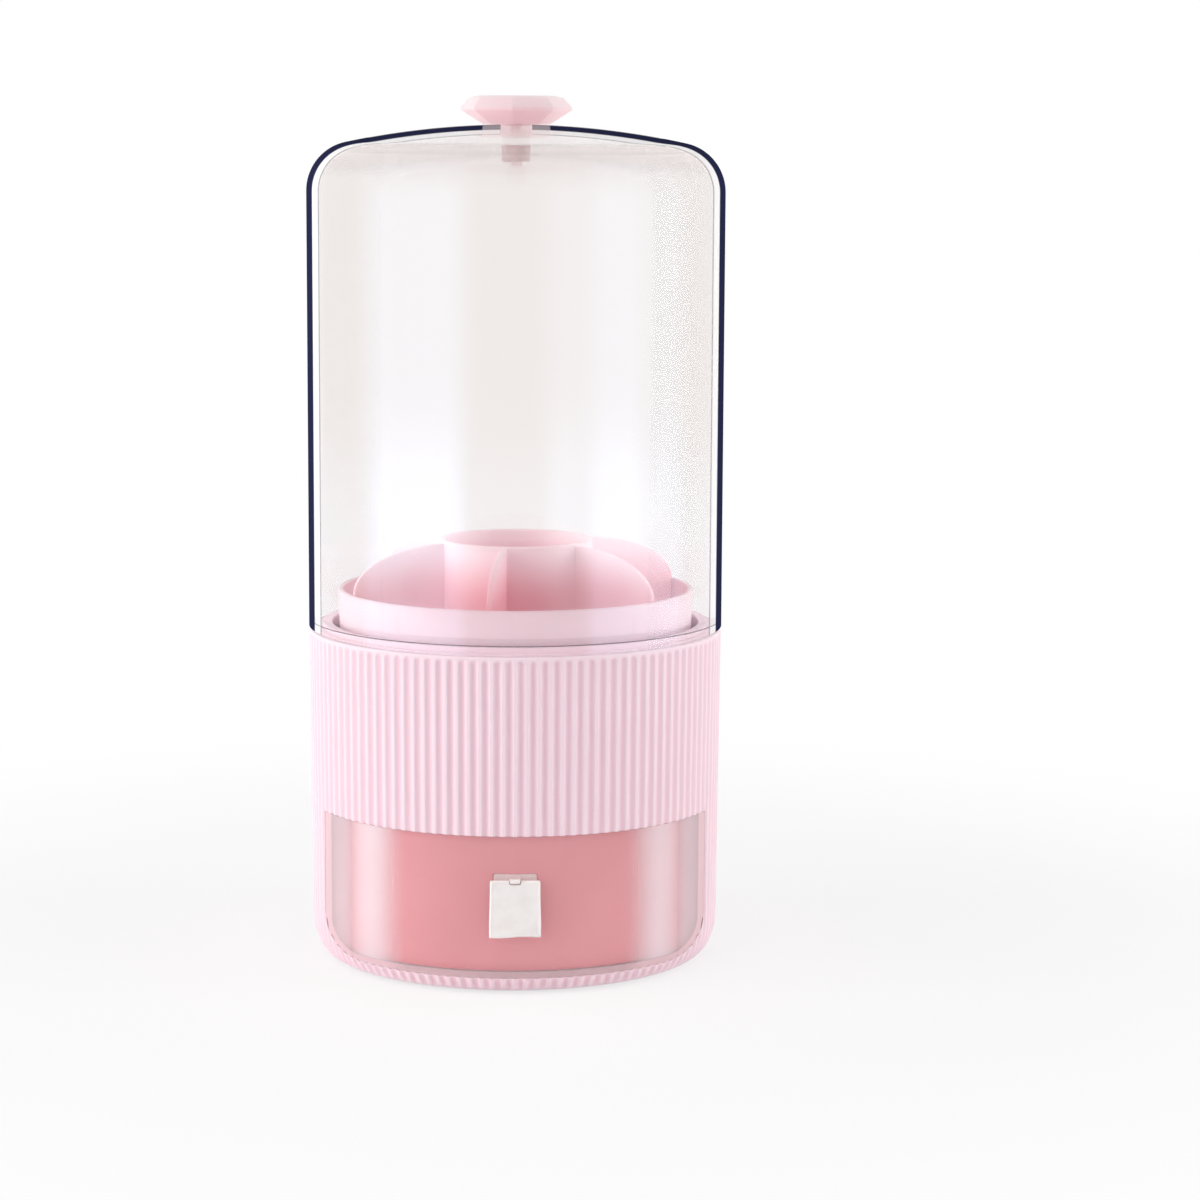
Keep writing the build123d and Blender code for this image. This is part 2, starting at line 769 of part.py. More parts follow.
with BuildPart() as dome_cover:
    add(dome_solid(0))
    add(dome_solid(dome_wall), mode=Mode.SUBTRACT)
    with BuildSketch(Plane.XY.offset(dome_top_z - dome_wall / 2)):
        Circle(dome_boss_radius)
    extrude(amount=-dome_boss_length - dome_wall / 2)
    with BuildSketch(Plane.XY.offset(dome_top_z)):
        Circle(stem_radius + running_gap)
    extrude(amount=-dome_boss_length - 2 * dome_wall, mode=Mode.SUBTRACT)
dome_cover.part.label = "dome_cover"
export_step(dome_cover.part, "parts/dome_cover.step")

# Faceted knob on the dome and the stem that holds it
knob_low_z = dome_top_z
knob_levels = [
    (knob_low_z, knob_base_radius),
    (overall_height - knob_waist_drop - knob_waist_band, knob_waist_radius),
    (overall_height - knob_waist_drop, knob_waist_radius),
    (overall_height - knob_table_drop, knob_crown_radius),
    (overall_height, knob_table_radius),
]

with BuildPart() as knob:
    for level_z, level_radius in knob_levels:
        with BuildSketch(Plane.XY.offset(level_z)):
            RegularPolygon(level_radius, knob_sides, rotation=front_angle + knob_turn)
    loft(ruled=True)
    with BuildSketch(Plane.XY.offset(knob_low_z)):
        Circle(stem_radius + snug_gap)
    extrude(amount=stem_grip + flat_gap, mode=Mode.SUBTRACT)
knob.part.label = "knob"
export_step(knob.part, "parts/knob.step")

with BuildPart() as knob_stem:
    with BuildSketch(Plane.XY.offset(dome_top_z - dome_wall - dome_boss_length + stem_tip_margin)):
        Circle(stem_radius)
    extrude(amount=dome_wall + dome_boss_length - stem_tip_margin + stem_grip)
knob_stem.part.label = "knob_stem"
export_step(knob_stem.part, "parts/knob_stem.step")
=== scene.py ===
import logging
import math
from dataclasses import dataclass, fields
from enum import Enum
from typing import Any, Sequence

import bmesh
import bpy
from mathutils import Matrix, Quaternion, Vector


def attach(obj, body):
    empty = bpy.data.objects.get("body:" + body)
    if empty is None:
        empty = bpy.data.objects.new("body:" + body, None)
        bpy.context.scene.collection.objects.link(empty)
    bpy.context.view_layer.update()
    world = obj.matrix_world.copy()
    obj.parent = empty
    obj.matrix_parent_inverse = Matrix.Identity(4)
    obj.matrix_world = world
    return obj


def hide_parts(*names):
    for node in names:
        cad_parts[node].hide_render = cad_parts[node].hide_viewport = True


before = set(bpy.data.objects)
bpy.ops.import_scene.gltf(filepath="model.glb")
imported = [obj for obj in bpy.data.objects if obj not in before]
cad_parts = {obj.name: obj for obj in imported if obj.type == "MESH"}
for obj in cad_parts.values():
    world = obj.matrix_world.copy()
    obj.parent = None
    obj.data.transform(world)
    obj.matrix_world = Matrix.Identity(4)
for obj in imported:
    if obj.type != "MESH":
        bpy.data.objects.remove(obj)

# A turning make-up brush stand: a clear domed cover with a faceted knob, a divided cup on a
# turntable, and a fluted body that holds one curved drawer with a clear front and a soft tab.
# Sizes in the sub-assemblies are millimetres, those in the finishes and the studio metres. The meshes
# are written in metres, in the CAD frame. A cutting block runs out to OUTSIDE, clear of the stand.

LOG = logging.getLogger("brush_stand")
MM = 0.001
SHARP_ANGLE = math.radians(32)
CORNER_STEPS = 4
OUTSIDE = 80.0
HOLLOW = "hollow"
BLACK = (0.0, 0.0, 0.0)
WHITE = (1.0, 1.0, 1.0)

Point = tuple[float, float]
Colour = tuple[float, float, float]
Slots = dict[str, bpy.types.Material]


class Cut(Enum):
    """How one closed shape is combined with another."""

    TAKE_AWAY = "DIFFERENCE"
    KEEP_COMMON = "INTERSECT"


class Side(Enum):
    """A clear wall's kinds of face, by material slot: outside, towards the hollow, edge or crown."""

    OUTER = 0
    INNER = 1
    EDGE = 2


def paint(red: float, green: float, blue: float) -> Colour:
    """Turns a display colour into the linear colour that a shader takes.

    Args:
        red: Red from 0 to 255.
        green: Green from 0 to 255.
        blue: Blue from 0 to 255.

    Returns:
        The linear red, green and blue.
    """

    def linear(level: float) -> float:
        """Linear value of one display level."""
        share = level / 255
        return share / 12.92 if share <= 0.04045 else ((share + 0.055) / 1.055) ** 2.4

    return linear(red), linear(green), linear(blue)


# Node trees


class Value:
    """A number that a node tree works out. Operators on it add Math nodes."""

    def __init__(self, sheet: "Sheet", socket: bpy.types.NodeSocket) -> None:
        """Wraps an output socket of the sheet's tree."""
        self.sheet = sheet
        self.socket = socket

    def _math(self, operation: str, *others: Any) -> "Value":
        """Adds a Math node that works on this value and the others.

        Args:
            operation: The Math node's operation.
            others: Numbers or values for its further sockets.

        Returns:
            The result.
        """
        return self.sheet.math(operation, self, *others)

    def __add__(self, other: Any) -> "Value":
        """This plus other."""
        return self._math("ADD", other)

    def __sub__(self, other: Any) -> "Value":
        """This minus other."""
        return self._math("SUBTRACT", other)

    def __mul__(self, other: Any) -> "Value":
        """This times other."""
        return self._math("MULTIPLY", other)

    def __truediv__(self, other: Any) -> "Value":
        """This over other."""
        return self._math("DIVIDE", other)

    def __rsub__(self, other: Any) -> "Value":
        """Other minus this."""
        return self.sheet.math("SUBTRACT", other, self)

    def __rtruediv__(self, other: Any) -> "Value":
        """Other over this."""
        return self.sheet.math("DIVIDE", other, self)

    __radd__ = __add__
    __rmul__ = __mul__

    def above(self, other: Any) -> "Value":
        """1 where this is greater than other, else 0."""
        return self._math("GREATER_THAN", other)

    def least(self, other: Any) -> "Value":
        """The smaller of this and other."""
        return self._math("MINIMUM", other)

    def most(self, other: Any) -> "Value":
        """The larger of this and other."""
        return self._math("MAXIMUM", other)

    def size(self) -> "Value":
        """This without its sign."""
        return self._math("ABSOLUTE")

    def part(self) -> "Value":
        """This less its whole number."""
        return self._math("FRACT")

    def ramp(self, low: float, high: float) -> "Value":
        """0 at low, 1 at high, smooth in between.

        Args:
            low: Where the result starts to rise.
            high: Where it reaches 1; below low for a falling ramp.

        Returns:
            The smooth step.
        """
        node = self.sheet.node(
            "ShaderNodeMapRange",
            {"interpolation_type": "SMOOTHSTEP"},
            {"Value": self, "From Min": low, "From Max": high},
        )
        return Value(self.sheet, node.outputs[0])


class Sheet:
    """A node tree under construction, of a finish or of a shape."""

    def __init__(self, tree: bpy.types.NodeTree) -> None:
        """Works on the tree given."""
        self.tree = tree

    def node(
        self,
        kind: str,
        settings: dict[str, Any] | None = None,
        sockets: dict[Any, Any] | None = None,
    ) -> bpy.types.Node:
        """Adds a node, sets it up, then fills its sockets.

        Args:
            kind: The node's type.
            settings: Its settings by name.
            sockets: Values or links by socket name or number.

        Returns:
            The node.
        """
        node = self.tree.nodes.new(kind)
        for name, setting in (settings or {}).items():
            setattr(node, name, setting)
        for name, given in (sockets or {}).items():
            socket = node.inputs[name]
            source = given.socket if isinstance(given, Value) else given
            if isinstance(source, bpy.types.NodeSocket):
                self.tree.links.new(source, socket)
            elif socket.type == "RGBA":
                socket.default_value = (*source, 1)
            else:
                socket.default_value = source
        return node

    def math(self, operation: str, *terms: Any) -> Value:
        """Adds a Math node.

        Args:
            operation: What it does.
            terms: Its values or links in order.

        Returns:
            The result.
        """
        node = self.node("ShaderNodeMath", {"operation": operation}, dict(enumerate(terms)))
        return Value(self, node.outputs[0])

    def mixed(self, share: Any, first: Any, second: Any) -> bpy.types.NodeSocket:
        """Mixes two colours.

        Args:
            share: How much of the second colour, from 0 to 1.
            first: A colour or a link.
            second: A colour or a link.

        Returns:
            The mixed colour's socket.
        """
        node = self.node("ShaderNodeMix", {"data_type": "RGBA"}, {0: share, 6: first, 7: second})
        return node.outputs[2]

    def blend(
        self, share: Any, first: bpy.types.NodeSocket, second: bpy.types.NodeSocket
    ) -> bpy.types.NodeSocket:
        """Mixes two shaders.

        Args:
            share: How much of the second one, from 0 to 1.
            first: A shader.
            second: A shader.

        Returns:
            The mixed shader's socket.
        """
        return self.node("ShaderNodeMixShader", None, {0: share, 1: first, 2: second}).outputs[0]

    def parts(self, vector: bpy.types.NodeSocket) -> list[Value]:
        """The X, Y and Z of a vector."""
        return [Value(self, part) for part in self.node("ShaderNodeSeparateXYZ", None, {0: vector}).outputs]

    def ray_is(self, *kinds: str) -> Value:
        """1 for a ray of any of the kinds given, else 0.

        Args:
            kinds: Kinds of ray as Light Path names them, such as Camera.

        Returns:
            The test's result.
        """
        path = self.node("ShaderNodeLightPath").outputs
        first, *others = (Value(self, path[f"Is {kind} Ray"]) for kind in kinds)
        for other in others:
            first = first.most(other)
        return first

    def seen(self) -> Value:
        """1 for the eye's rays, straight or by way of gloss or clear plastic, else 0."""
        return self.ray_is("Camera", "Glossy", "Transmission")


class Finish(Sheet):
    """The node tree of one material, on Object coordinates in metres."""

    def __init__(self, name: str) -> None:
        """Makes an empty material of that name."""
        self.material = bpy.data.materials.new(name)
        self.material.use_nodes = True
        super().__init__(self.material.node_tree)
        self.tree.nodes.clear()
        self.place = self.node("ShaderNodeTexCoord").outputs["Object"]
        self.across, self.away, self.height = self.parts(self.place)

    def noise(self, scale: float, detail: float = 2.0, stretch: Sequence[float] = (1, 1, 1)) -> Value:
        """A cloudy pattern from 0 to 1.

        Args:
            scale: Patches per metre.
            detail: How fine it breaks up.
            stretch: How the pattern is squeezed along each axis.

        Returns:
            The pattern.
        """
        sockets = {"Vector": self.place, "Scale": tuple(stretch)}
        placed = self.node("ShaderNodeMapping", {"vector_type": "POINT"}, sockets)
        sockets = {"Vector": placed.outputs[0], "Scale": scale, "Detail": detail}
        node = self.node("ShaderNodeTexNoise", {"noise_dimensions": "3D"}, sockets)
        return Value(self, node.outputs[0])

    def from_axis(self) -> Value:
        """Distance from the stand's axis."""
        return self.math("SQRT", self.across * self.across + self.away * self.away)

    def normal(self) -> list[Value]:
        """The X, Y and Z of the surface's direction."""
        return self.parts(self.node("ShaderNodeTexCoord").outputs["Normal"])

    def squareness(self, direction: bpy.types.NodeSocket | None = None) -> Value:
        """How squarely the eye looks at the surface, or along another direction: 1 square, 0 side on.

        Args:
            direction: The direction in place of the surface's own.

        Returns:
            The cosine of the angle in between.
        """
        sockets = {"Blend": 0.5} if direction is None else {"Blend": 0.5, "Normal": direction}
        return 1.0 - Value(self, self.node("ShaderNodeLayerWeight", None, sockets).outputs["Facing"])

    def relief(self, height: Value, depth: float, strength: float = 1.0) -> bpy.types.NodeSocket:
        """A bump from a height pattern.

        Args:
            height: The pattern, from 0 to 1.
            depth: Its depth in metres.
            strength: How much of it shows.

        Returns:
            The normal's socket.
        """
        sockets = {"Height": height, "Distance": depth, "Strength": strength}
        return self.node("ShaderNodeBump", None, sockets).outputs[0]

    def air(self, tint: Colour) -> bpy.types.NodeSocket:
        """A shader that lets light straight through and tints it."""
        return self.node("ShaderNodeBsdfTransparent", None, {"Color": tint}).outputs[0]

    def matt(self, colour: Colour) -> bpy.types.NodeSocket:
        """A plain matt shader."""
        return self.node("ShaderNodeBsdfDiffuse", None, {"Color": colour}).outputs[0]

    def skin(self, **sockets: Any) -> bpy.types.NodeSocket:
        """The main shader; its sockets are named with _ for a space."""
        named = {name.replace("_", " "): given for name, given in sockets.items()}
        return self.node("ShaderNodeBsdfPrincipled", None, named).outputs[0]

    def lets_lamps_through(self, shader: bpy.types.NodeSocket, tint: Colour) -> bpy.types.NodeSocket:
        """Makes a clear shader transparent, with a tint, to rays on their way to a lamp."""
        return self.blend(self.ray_is("Shadow"), shader, self.air(tint))

    def done(self, shader: bpy.types.NodeSocket) -> bpy.types.Material:
        """Joins the shader to the output and gives the material."""
        self.node("ShaderNodeOutputMaterial", None, {"Surface": shader})
        return self.material


# Finishes


@dataclass(frozen=True)
class MouldedPlastic:
    """Moulded plastic with a fine satin skin and a faint drift of colour.

    It may carry painted light, a weak glow of its own: an even one, one on faces that look down, and one
    to both sides. It may also carry painted shade, a deeper colour in grooves and low down.
    """

    name: str
    colour: Colour
    drift: Colour
    roughness: float = 0.38
    cloud_scale: float = 22.0
    flow_scale: float = 60.0
    grain_scale: float = 2600.0
    grain_depth: float = 0.00002
    glow: float = 0.12
    glow_reach: Sequence[float] = (0.006, 0.003, 0.003)
    coat: float = 0.0
    coat_rough: float = 0.12
    shine: float = 0.5
    # Painted shade: a deeper colour in the flutes' grooves.
    painted_groove_shade: Colour | None = None
    # Painted light: an even glow, a glow on faces that look down and a glow to both sides.
    painted_glow: Colour = BLACK
    painted_under_glow: Colour | None = None
    under_turn: Point = (0.2, -0.5)
    painted_side_glow: Colour | None = None
    side_reach: Point = (0.005, 0.026)
    # Painted shade: a deeper colour low down, between the heights given.
    painted_low_shade: Colour | None = None
    painted_shade_heights: Point = (0.137, 0.119)

    def make(self) -> bpy.types.Material:
        """Builds the material."""
        finish = Finish(self.name)
        cloud = finish.noise(self.cloud_scale).ramp(0.35, 0.65)
        speck = finish.noise(self.grain_scale, 3.0)
        flow = finish.noise(self.flow_scale, 3.0, (1, 1, 0.25))
        colour = finish.mixed(cloud, self.colour, self.drift)
        # Painted light: a weak glow of its own, even over the plastic.
        light: Any = self.painted_glow
        # Painted shade: a deeper colour in the flutes' grooves, by the hollow mark.
        if self.painted_groove_shade:
            hollow = finish.node("ShaderNodeAttribute", {"attribute_name": HOLLOW}).outputs["Fac"]
            colour = finish.mixed(hollow, colour, self.painted_groove_shade)
        # Painted shade: a deeper colour low down.
        if self.painted_low_shade:
            colour = finish.mixed(finish.height.ramp(*self.painted_shade_heights), colour, self.painted_low_shade)
        # Painted light on faces that look down.
        if self.painted_under_glow:
            light = finish.mixed(finish.normal()[2].ramp(*self.under_turn), light, self.painted_under_glow)
        # Painted light to both sides, by distance across.
        if self.painted_side_glow:
            light = finish.mixed(finish.across.size().ramp(*self.side_reach), light, self.painted_side_glow)
        shader = finish.skin(
            Base_Color=colour,
            Roughness=self.roughness + (speck - 0.5) * 0.10 + (flow - 0.5) * 0.06,
            Normal=finish.relief(speck * 0.6 + flow * 0.4, self.grain_depth, 0.6),
            IOR=1.5,
            Specular_IOR_Level=self.shine,
            Emission_Color=light,
            Emission_Strength=1.0,
            Subsurface_Weight=self.glow,
            Subsurface_Radius=tuple(self.glow_reach),
            Subsurface_Scale=1.0,
            Coat_Weight=self.coat,
            Coat_Roughness=self.coat_rough,
        )
        return finish.done(shader)


@dataclass(frozen=True)
class ClearPlastic:
    """Clear moulded plastic, greyer and streaked in its crown and milky at its boss.

    A weak glow in upright bands and at the foot is a painted highlight, where lamps would reflect.
    """

    name: str
    tint: Colour = (0.934, 0.912, 0.900)
    crown_tint: Colour = (0.93, 0.905, 0.9)
    boss_tint: Colour = (0.88, 0.76, 0.77)
    streak_scale: float = 60.0
    ripple_scale: float = 14.0
    ripple_depth: float = 0.00004
    wall_air: Colour = (0.966, 0.954, 0.948)
    crown_air: Colour = (0.948, 0.926, 0.921)
    boss_milk: Colour = (0.66, 0.50, 0.50)
    boss_share: float = 0.5
    tint_gain: float = 0.7
    crown_z: float = 0.259
    crown_fade: float = 0.006
    wall_open: float = 0.93
    crown_open: float = 0.75
    boss_radius: float = 0.0052
    boss_fade: float = 0.0004
    band_turn: float = 0.06
    band_place: float = 0.57
    band_width: float = 0.36
    band_core: float = 0.16
    band_drift: float = 0.1
    drift_scale: float = 9.0
    fine_scale: float = 140.0
    band_heights: Point = (0.262, 0.245)
    # Painted highlight: the bands' colour, then shares, heights and the foot's level.
    painted_highlight_colour: Colour = (1.1, 1.4, 2.0)
    high_share: float = 0.5
    low_heights: Point = (0.19, 0.125)
    low_gain: float = 0.9
    foot_glow: float = 0.35
    painted_highlight_share: float = 0.0
    shine: float = 0.08
    soft_tint: Colour = (0.82, 0.70, 0.71)
    side_tint: Colour = (1.0, 0.99, 0.99)
    side_reach: Point = (0.02, 0.052)
    foot_heights: Point = (0.128, 0.116)
    shadow_tint: Colour = (0.99, 0.985, 0.985)

    def glow(self, finish: Finish) -> Value:
        """How much painted highlight the wall has: upright bands, two in each third, and the foot.

        Args:
            finish: The material under construction.

        Returns:
            The light's share.
        """
        third = 2 * math.pi / 3
        turn = (finish.math("ARCTAN2", finish.across, 0.0 - finish.away) - self.band_turn) / third + 0.5
        turn = (turn.part() - 0.5).size() * third
        drift = (finish.noise(self.drift_scale, 1.0, (1, 1, 0.1)) - 0.5) * self.band_drift
        fine = finish.noise(self.fine_scale, 2.0, (1, 1, 0.02))
        bands = (turn - self.band_place + drift).size().ramp(self.band_width, self.band_core)
        low = finish.height.ramp(*self.low_heights)
        light = bands * finish.height.ramp(*self.band_heights) * (self.high_share + low * self.low_gain)
        light = light * self.painted_highlight_share * (0.85 + fine * 0.3)
        return light.most(low * self.foot_glow * self.painted_highlight_share)

    def clear(self, finish: Finish) -> bpy.types.NodeSocket:
        """The plain clear shader: mostly air, with a share of glossy glass.

        Args:
            finish: The material under construction.

        Returns:
            The shader's socket.
        """
        streak = finish.noise(self.streak_scale, 4.0, (0.25, 0.25, 2.0))
        ripple = finish.noise(self.ripple_scale, 1.0, (1, 1, 0.5))
        lighter = tuple(min(1.0, level + (1.0 - level) * self.tint_gain) for level in self.tint)
        wall = finish.mixed(streak * 0.2, self.tint, lighter)
        crown = finish.height.ramp(self.crown_z - self.crown_fade, self.crown_z)
        topped = finish.mixed((crown * (0.55 + streak * 0.9)).least(1.0), wall, self.crown_tint)
        boss = finish.from_axis().ramp(self.boss_radius, self.boss_radius - self.boss_fade)
        solid = finish.skin(
            Base_Color=finish.mixed(boss, topped, self.boss_tint),
            Roughness=0.008 + streak * 0.01,
            Normal=finish.relief(ripple, self.ripple_depth, 0.5),
            IOR=1.49,
            Specular_IOR_Level=self.shine,
            Transmission_Weight=1.0,
            # Painted highlight: the bands and the foot glow a cool white.
            Emission_Color=finish.mixed(self.glow(finish), BLACK, self.painted_highlight_colour),
            Emission_Strength=1.0,
        )
        air = finish.blend(crown, finish.air(self.wall_air), finish.air(self.crown_air))
        share = (self.wall_open + crown * (self.crown_open - self.wall_open)) * (1.0 - boss)
        solid = finish.blend(share, solid, air)
        return finish.blend(boss * self.boss_share, solid, finish.matt(self.boss_milk))

    def opened(self, finish: Finish, shader: bpy.types.NodeSocket) -> bpy.types.Material:
        """Lets soft light and the lamps' rays straight through, with least loss at the sides and foot.

        Args:
            finish: The material under construction.
            shader: The clear shader.

        Returns:
            The finished material.
        """
        free = finish.across.size().ramp(*self.side_reach).most(finish.height.ramp(*self.foot_heights))
        air = finish.blend(free, finish.air(self.soft_tint), finish.air(self.side_tint))
        shader = finish.blend(finish.ray_is("Diffuse"), shader, air)
        return finish.done(finish.lets_lamps_through(shader, self.shadow_tint))

    def make(self) -> bpy.types.Material:
        """Builds the material."""
        finish = Finish(self.name)
        return self.opened(finish, self.clear(finish))


@dataclass(frozen=True)
class EdgedClearPlastic(ClearPlastic):
    """Clear plastic with a painted dark rim and fine line, and a painted pale gap, where seen side on."""

    # Painted shade of the dark rim.
    painted_rim_shade: Colour = paint(38, 40, 68)
    rim_width: float = 0.00183
    crown_rim_width: float = 0.00172
    rim_soft: float = 0.00012
    rim_foot_z: float = 0.1088
    edge_heights: Point = (0.252, 0.266)
    least_level: float = 0.02
    knob_radius: float = 0.0106
    knob_fade: float = 0.0003
    knob_gap_z: float = 0.2665
    stem_share: float = 0.65
    knob_share: float = 0.35
    # Painted light of the pale gap inside the rim.
    painted_gap_light: Colour = (0.93, 0.92, 0.93)
    gap_share: float = 0.7
    # Painted shade of the fine line and of the line round the foot.
    painted_line_shade: Colour = paint(110, 106, 112)
    line_place: float = 0.0037
    crown_line_place: float = 0.0031
    line_width: float = 0.0003
    line_share: float = 0.55
    crown_line_loss: float = 0.15
    # Painted shadow: a line round the foot and a faint band just above it.
    foot_line_z: float = 0.1114
    foot_line_reach: Point = (0.0003, 0.0001)
    foot_line_share: float = 0.7
    foot_band_z: float = 0.1142
    foot_band_fade: float = 0.0008
    foot_band_share: float = 0.1

    def from_outline(self, finish: Finish, crown: Value) -> Value:
        """How far inside the dome's outline a place is seen.

        The slope away from the eye gives it. The eye's height above the level keeps it thin all round
        in steep views, where that slope alone would make the whole wall an edge.

        Args:
            finish: The material under construction.
            crown: 1 on the crown, 0 on the wall.

        Returns:
            The distance in metres.
        """
        normal = finish.normal()
        lean = (normal[0] * finish.across + normal[1] * finish.away).size().most(1e-7)
        square_radius = finish.across * finish.across + finish.away * finish.away
        square = finish.squareness()
        steep = finish.squareness(finish.node("ShaderNodeCombineXYZ", None, {2: 1.0}).outputs[0])
        level = (1.0 - steep * steep * (1.0 - crown)).most(self.least_level)
        return square * square / level * square_radius / lean * 0.5

    def make(self) -> bpy.types.Material:
        """Builds the material."""
        finish = Finish(self.name)
        crown = finish.height.ramp(*self.edge_heights)
        inset = self.from_outline(finish, crown)
        front = 1.0 - Value(finish, finish.node("ShaderNodeNewGeometry").outputs["Backfacing"])
        near = finish.across.size().least(finish.away.size())
        under = near.ramp(self.boss_radius - self.boss_fade, self.boss_radius) * self.stem_share
        beside = near.ramp(self.knob_radius - self.knob_fade, self.knob_radius + self.knob_fade)
        under = under + beside * self.knob_share
        shows = front * finish.height.above(self.rim_foot_z)
        shows = shows * (1.0 - (1.0 - under) * finish.height.above(self.knob_gap_z))
        rim_width = self.rim_width + crown * (self.crown_rim_width - self.rim_width)
        # Painted shade: a dark rim along the outline, where the wall is seen side on.
        rim = ((rim_width + self.rim_soft - inset) / (2 * self.rim_soft)).most(0.0).least(1.0) * shows
        place = self.line_place + crown * (self.crown_line_place - self.line_place)
        # Painted light: a pale gap between the rim and the fine line.
        gap = (place - inset).above(0.0) * shows * self.gap_share
        # Painted shade: a fine grey line a little inside the rim.
        line = (inset - place).size().ramp(self.line_width, self.line_width * 0.3)
        line = line * shows * (self.line_share - crown * self.crown_line_loss)
        # Painted shadow: a dark line round the foot and a faint darker band just above it.
        foot = (finish.height - self.foot_line_z).size().ramp(*self.foot_line_reach) * self.foot_line_share
        band = finish.height.ramp(self.foot_band_z, self.foot_band_z - self.foot_band_fade)
        foot = foot.most(band * self.foot_band_share * finish.height.above(self.foot_line_z))
        line = line.most(foot * front)
        # The pale gap mixed in here is painted light.
        milky = finish.blend(gap, self.clear(finish), finish.matt(self.painted_gap_light))
        lined = finish.blend(line, milky, finish.matt(self.painted_line_shade))
        return self.opened(finish, finish.blend(rim, lined, finish.matt(self.painted_rim_shade)))


@dataclass(frozen=True)
class FrostedPlastic:
    """Finely frosted clear plastic, milkier in its thick border and flanks, with painted side highlights.
    """

    name: str
    tint: Colour
    roughness: float
    milk: float
    milk_colour: Colour
    frost_scale: float = 900.0
    frost_depth: float = 0.00001
    cloud_scale: float = 30.0
    # Painted highlight: a milky upright band to each side, then its place and width.
    painted_side_highlight: float = 0.0
    side_place: float = 0.0458
    side_width: float = 0.0125
    pad_half: float = 0.00665
    pad_z: float = 0.03715
    pad_high: float = 0.0039
    pad_fade: float = 0.0004
    pad_clear: float = 0.0
    flank_reach: Point = (0.0487, 0.0557)
    flank_milk: float = 0.0
    flank_colour: Colour = (0.76, 0.60, 0.64)
    border_milk: float = 0.0
    border_colour: Colour = WHITE
    border_width: float = 0.0022
    border_fade: float = 0.0001
    line_reach: Point = (0.0003, 0.0001)
    line_dark: float = 0.72
    half_width: float = 0.0612
    low_z: float = 0.0058
    corner: float = 0.0117
    shadow_tint: Colour = (0.98, 0.95, 0.95)

    def from_edge(self, finish: Finish) -> Value:
        """How far a place is from the front's side and bottom edges.

        Args:
            finish: The material under construction.

        Returns:
            The distance in metres, at most the corner's radius.
        """
        past_side = (finish.across.size() - (self.half_width - self.corner)).most(0.0)
        past_low = ((self.low_z + self.corner) - finish.height).most(0.0)
        return self.corner - finish.math("SQRT", past_side * past_side + past_low * past_low)

    def make(self) -> bpy.types.Material:
        """Builds the material."""
        finish = Finish(self.name)
        aside = finish.across.size()
        frost = finish.noise(self.frost_scale, 3.0)
        cloud = finish.noise(self.cloud_scale)
        lighter = tuple(min(1.0, level * 1.02) for level in self.tint)
        clear = finish.skin(
            Base_Color=finish.mixed(cloud, self.tint, lighter),
            Roughness=self.roughness + (frost - 0.5) * 0.04,
            Normal=finish.relief(frost, self.frost_depth, 0.3),
            IOR=1.46,
            Specular_IOR_Level=0.3,
            Transmission_Weight=1.0,
        )
        clear = finish.blend(finish.ray_is("Diffuse"), clear, finish.air(self.shadow_tint))
        edge = self.from_edge(finish)
        border = edge.ramp(self.border_width + self.border_fade, self.border_width - self.border_fade)
        line = (edge - self.border_width).size().ramp(*self.line_reach)
        # Painted highlight: a milky upright band to each side.
        side = (aside - self.side_place).size().ramp(self.side_width, 0.0)
        flank = aside.ramp(*self.flank_reach)
        colour = finish.mixed(flank, self.milk_colour, self.flank_colour)
        colour = finish.mixed(border, colour, self.border_colour)
        darker = tuple(level * self.line_dark for level in self.border_colour)
        colour = finish.mixed(line * 0.5, colour, darker)
        pad = aside.ramp(self.pad_half + self.pad_fade, self.pad_half)
        high = self.pad_high / 2
        pad = pad * (finish.height - self.pad_z).size().ramp(high + self.pad_fade, high)
        share = (self.milk + side * self.painted_side_highlight).most(flank * self.flank_milk) * (0.85 + cloud * 0.3)
        share = share * (1.0 - pad * self.pad_clear)
        share = (share + border * self.border_milk + line * 0.1).least(1.0)
        both = finish.blend(share, clear, finish.skin(Base_Color=colour, Roughness=0.45, IOR=1.46))
        return finish.done(finish.lets_lamps_through(both, self.shadow_tint))


@dataclass(frozen=True)
class SoftMoulding:
    """Matt soft rubbery plastic with a faint powdery skin."""

    name: str
    colour: Colour
    shade: Colour
    roughness: float = 0.6
    glow: float = 0.2
    cloud_scale: float = 160.0
    powder_scale: float = 3500.0
    skin_depth: float = 0.00006

    def make(self) -> bpy.types.Material:
        """Builds the material."""
        finish = Finish(self.name)
        cloud = finish.noise(self.cloud_scale, 3.0)
        powder = finish.noise(self.powder_scale)
        shader = finish.skin(
            Base_Color=finish.mixed(cloud.ramp(0.35, 0.7), self.colour, self.shade),
            Roughness=self.roughness + (powder - 0.5) * 0.15,
            Normal=finish.relief(powder * 0.5 + cloud * 0.5, self.skin_depth, 0.5),
            IOR=1.42,
            Subsurface_Weight=self.glow,
            Subsurface_Radius=(0.002, 0.0018, 0.0015),
            Subsurface_Scale=1.0,
        )
        return finish.done(shader)


@dataclass(frozen=True)
class BrightSteel:
    """Zinc-plated steel with fine turning marks and a little tarnish."""

    name: str
    colour: Colour
    tarnish: Colour
    roughness: float = 0.28
    mark_scale: float = 1500.0
    mark_depth: float = 0.00002
    spot_scale: float = 260.0

    def make(self) -> bpy.types.Material:
        """Builds the material."""
        finish = Finish(self.name)
        turned = finish.noise(self.mark_scale, 2.0, (1, 1, 6))
        spots = finish.noise(self.spot_scale, 4.0).ramp(0.45, 0.75)
        shader = finish.skin(
            Base_Color=finish.mixed(spots * 0.5, self.colour, self.tarnish),
            Metallic=1.0,
            Roughness=self.roughness + spots * 0.15 + (turned - 0.5) * 0.12,
            Normal=finish.relief(turned, self.mark_depth, 0.4),
        )
        return finish.done(shader)


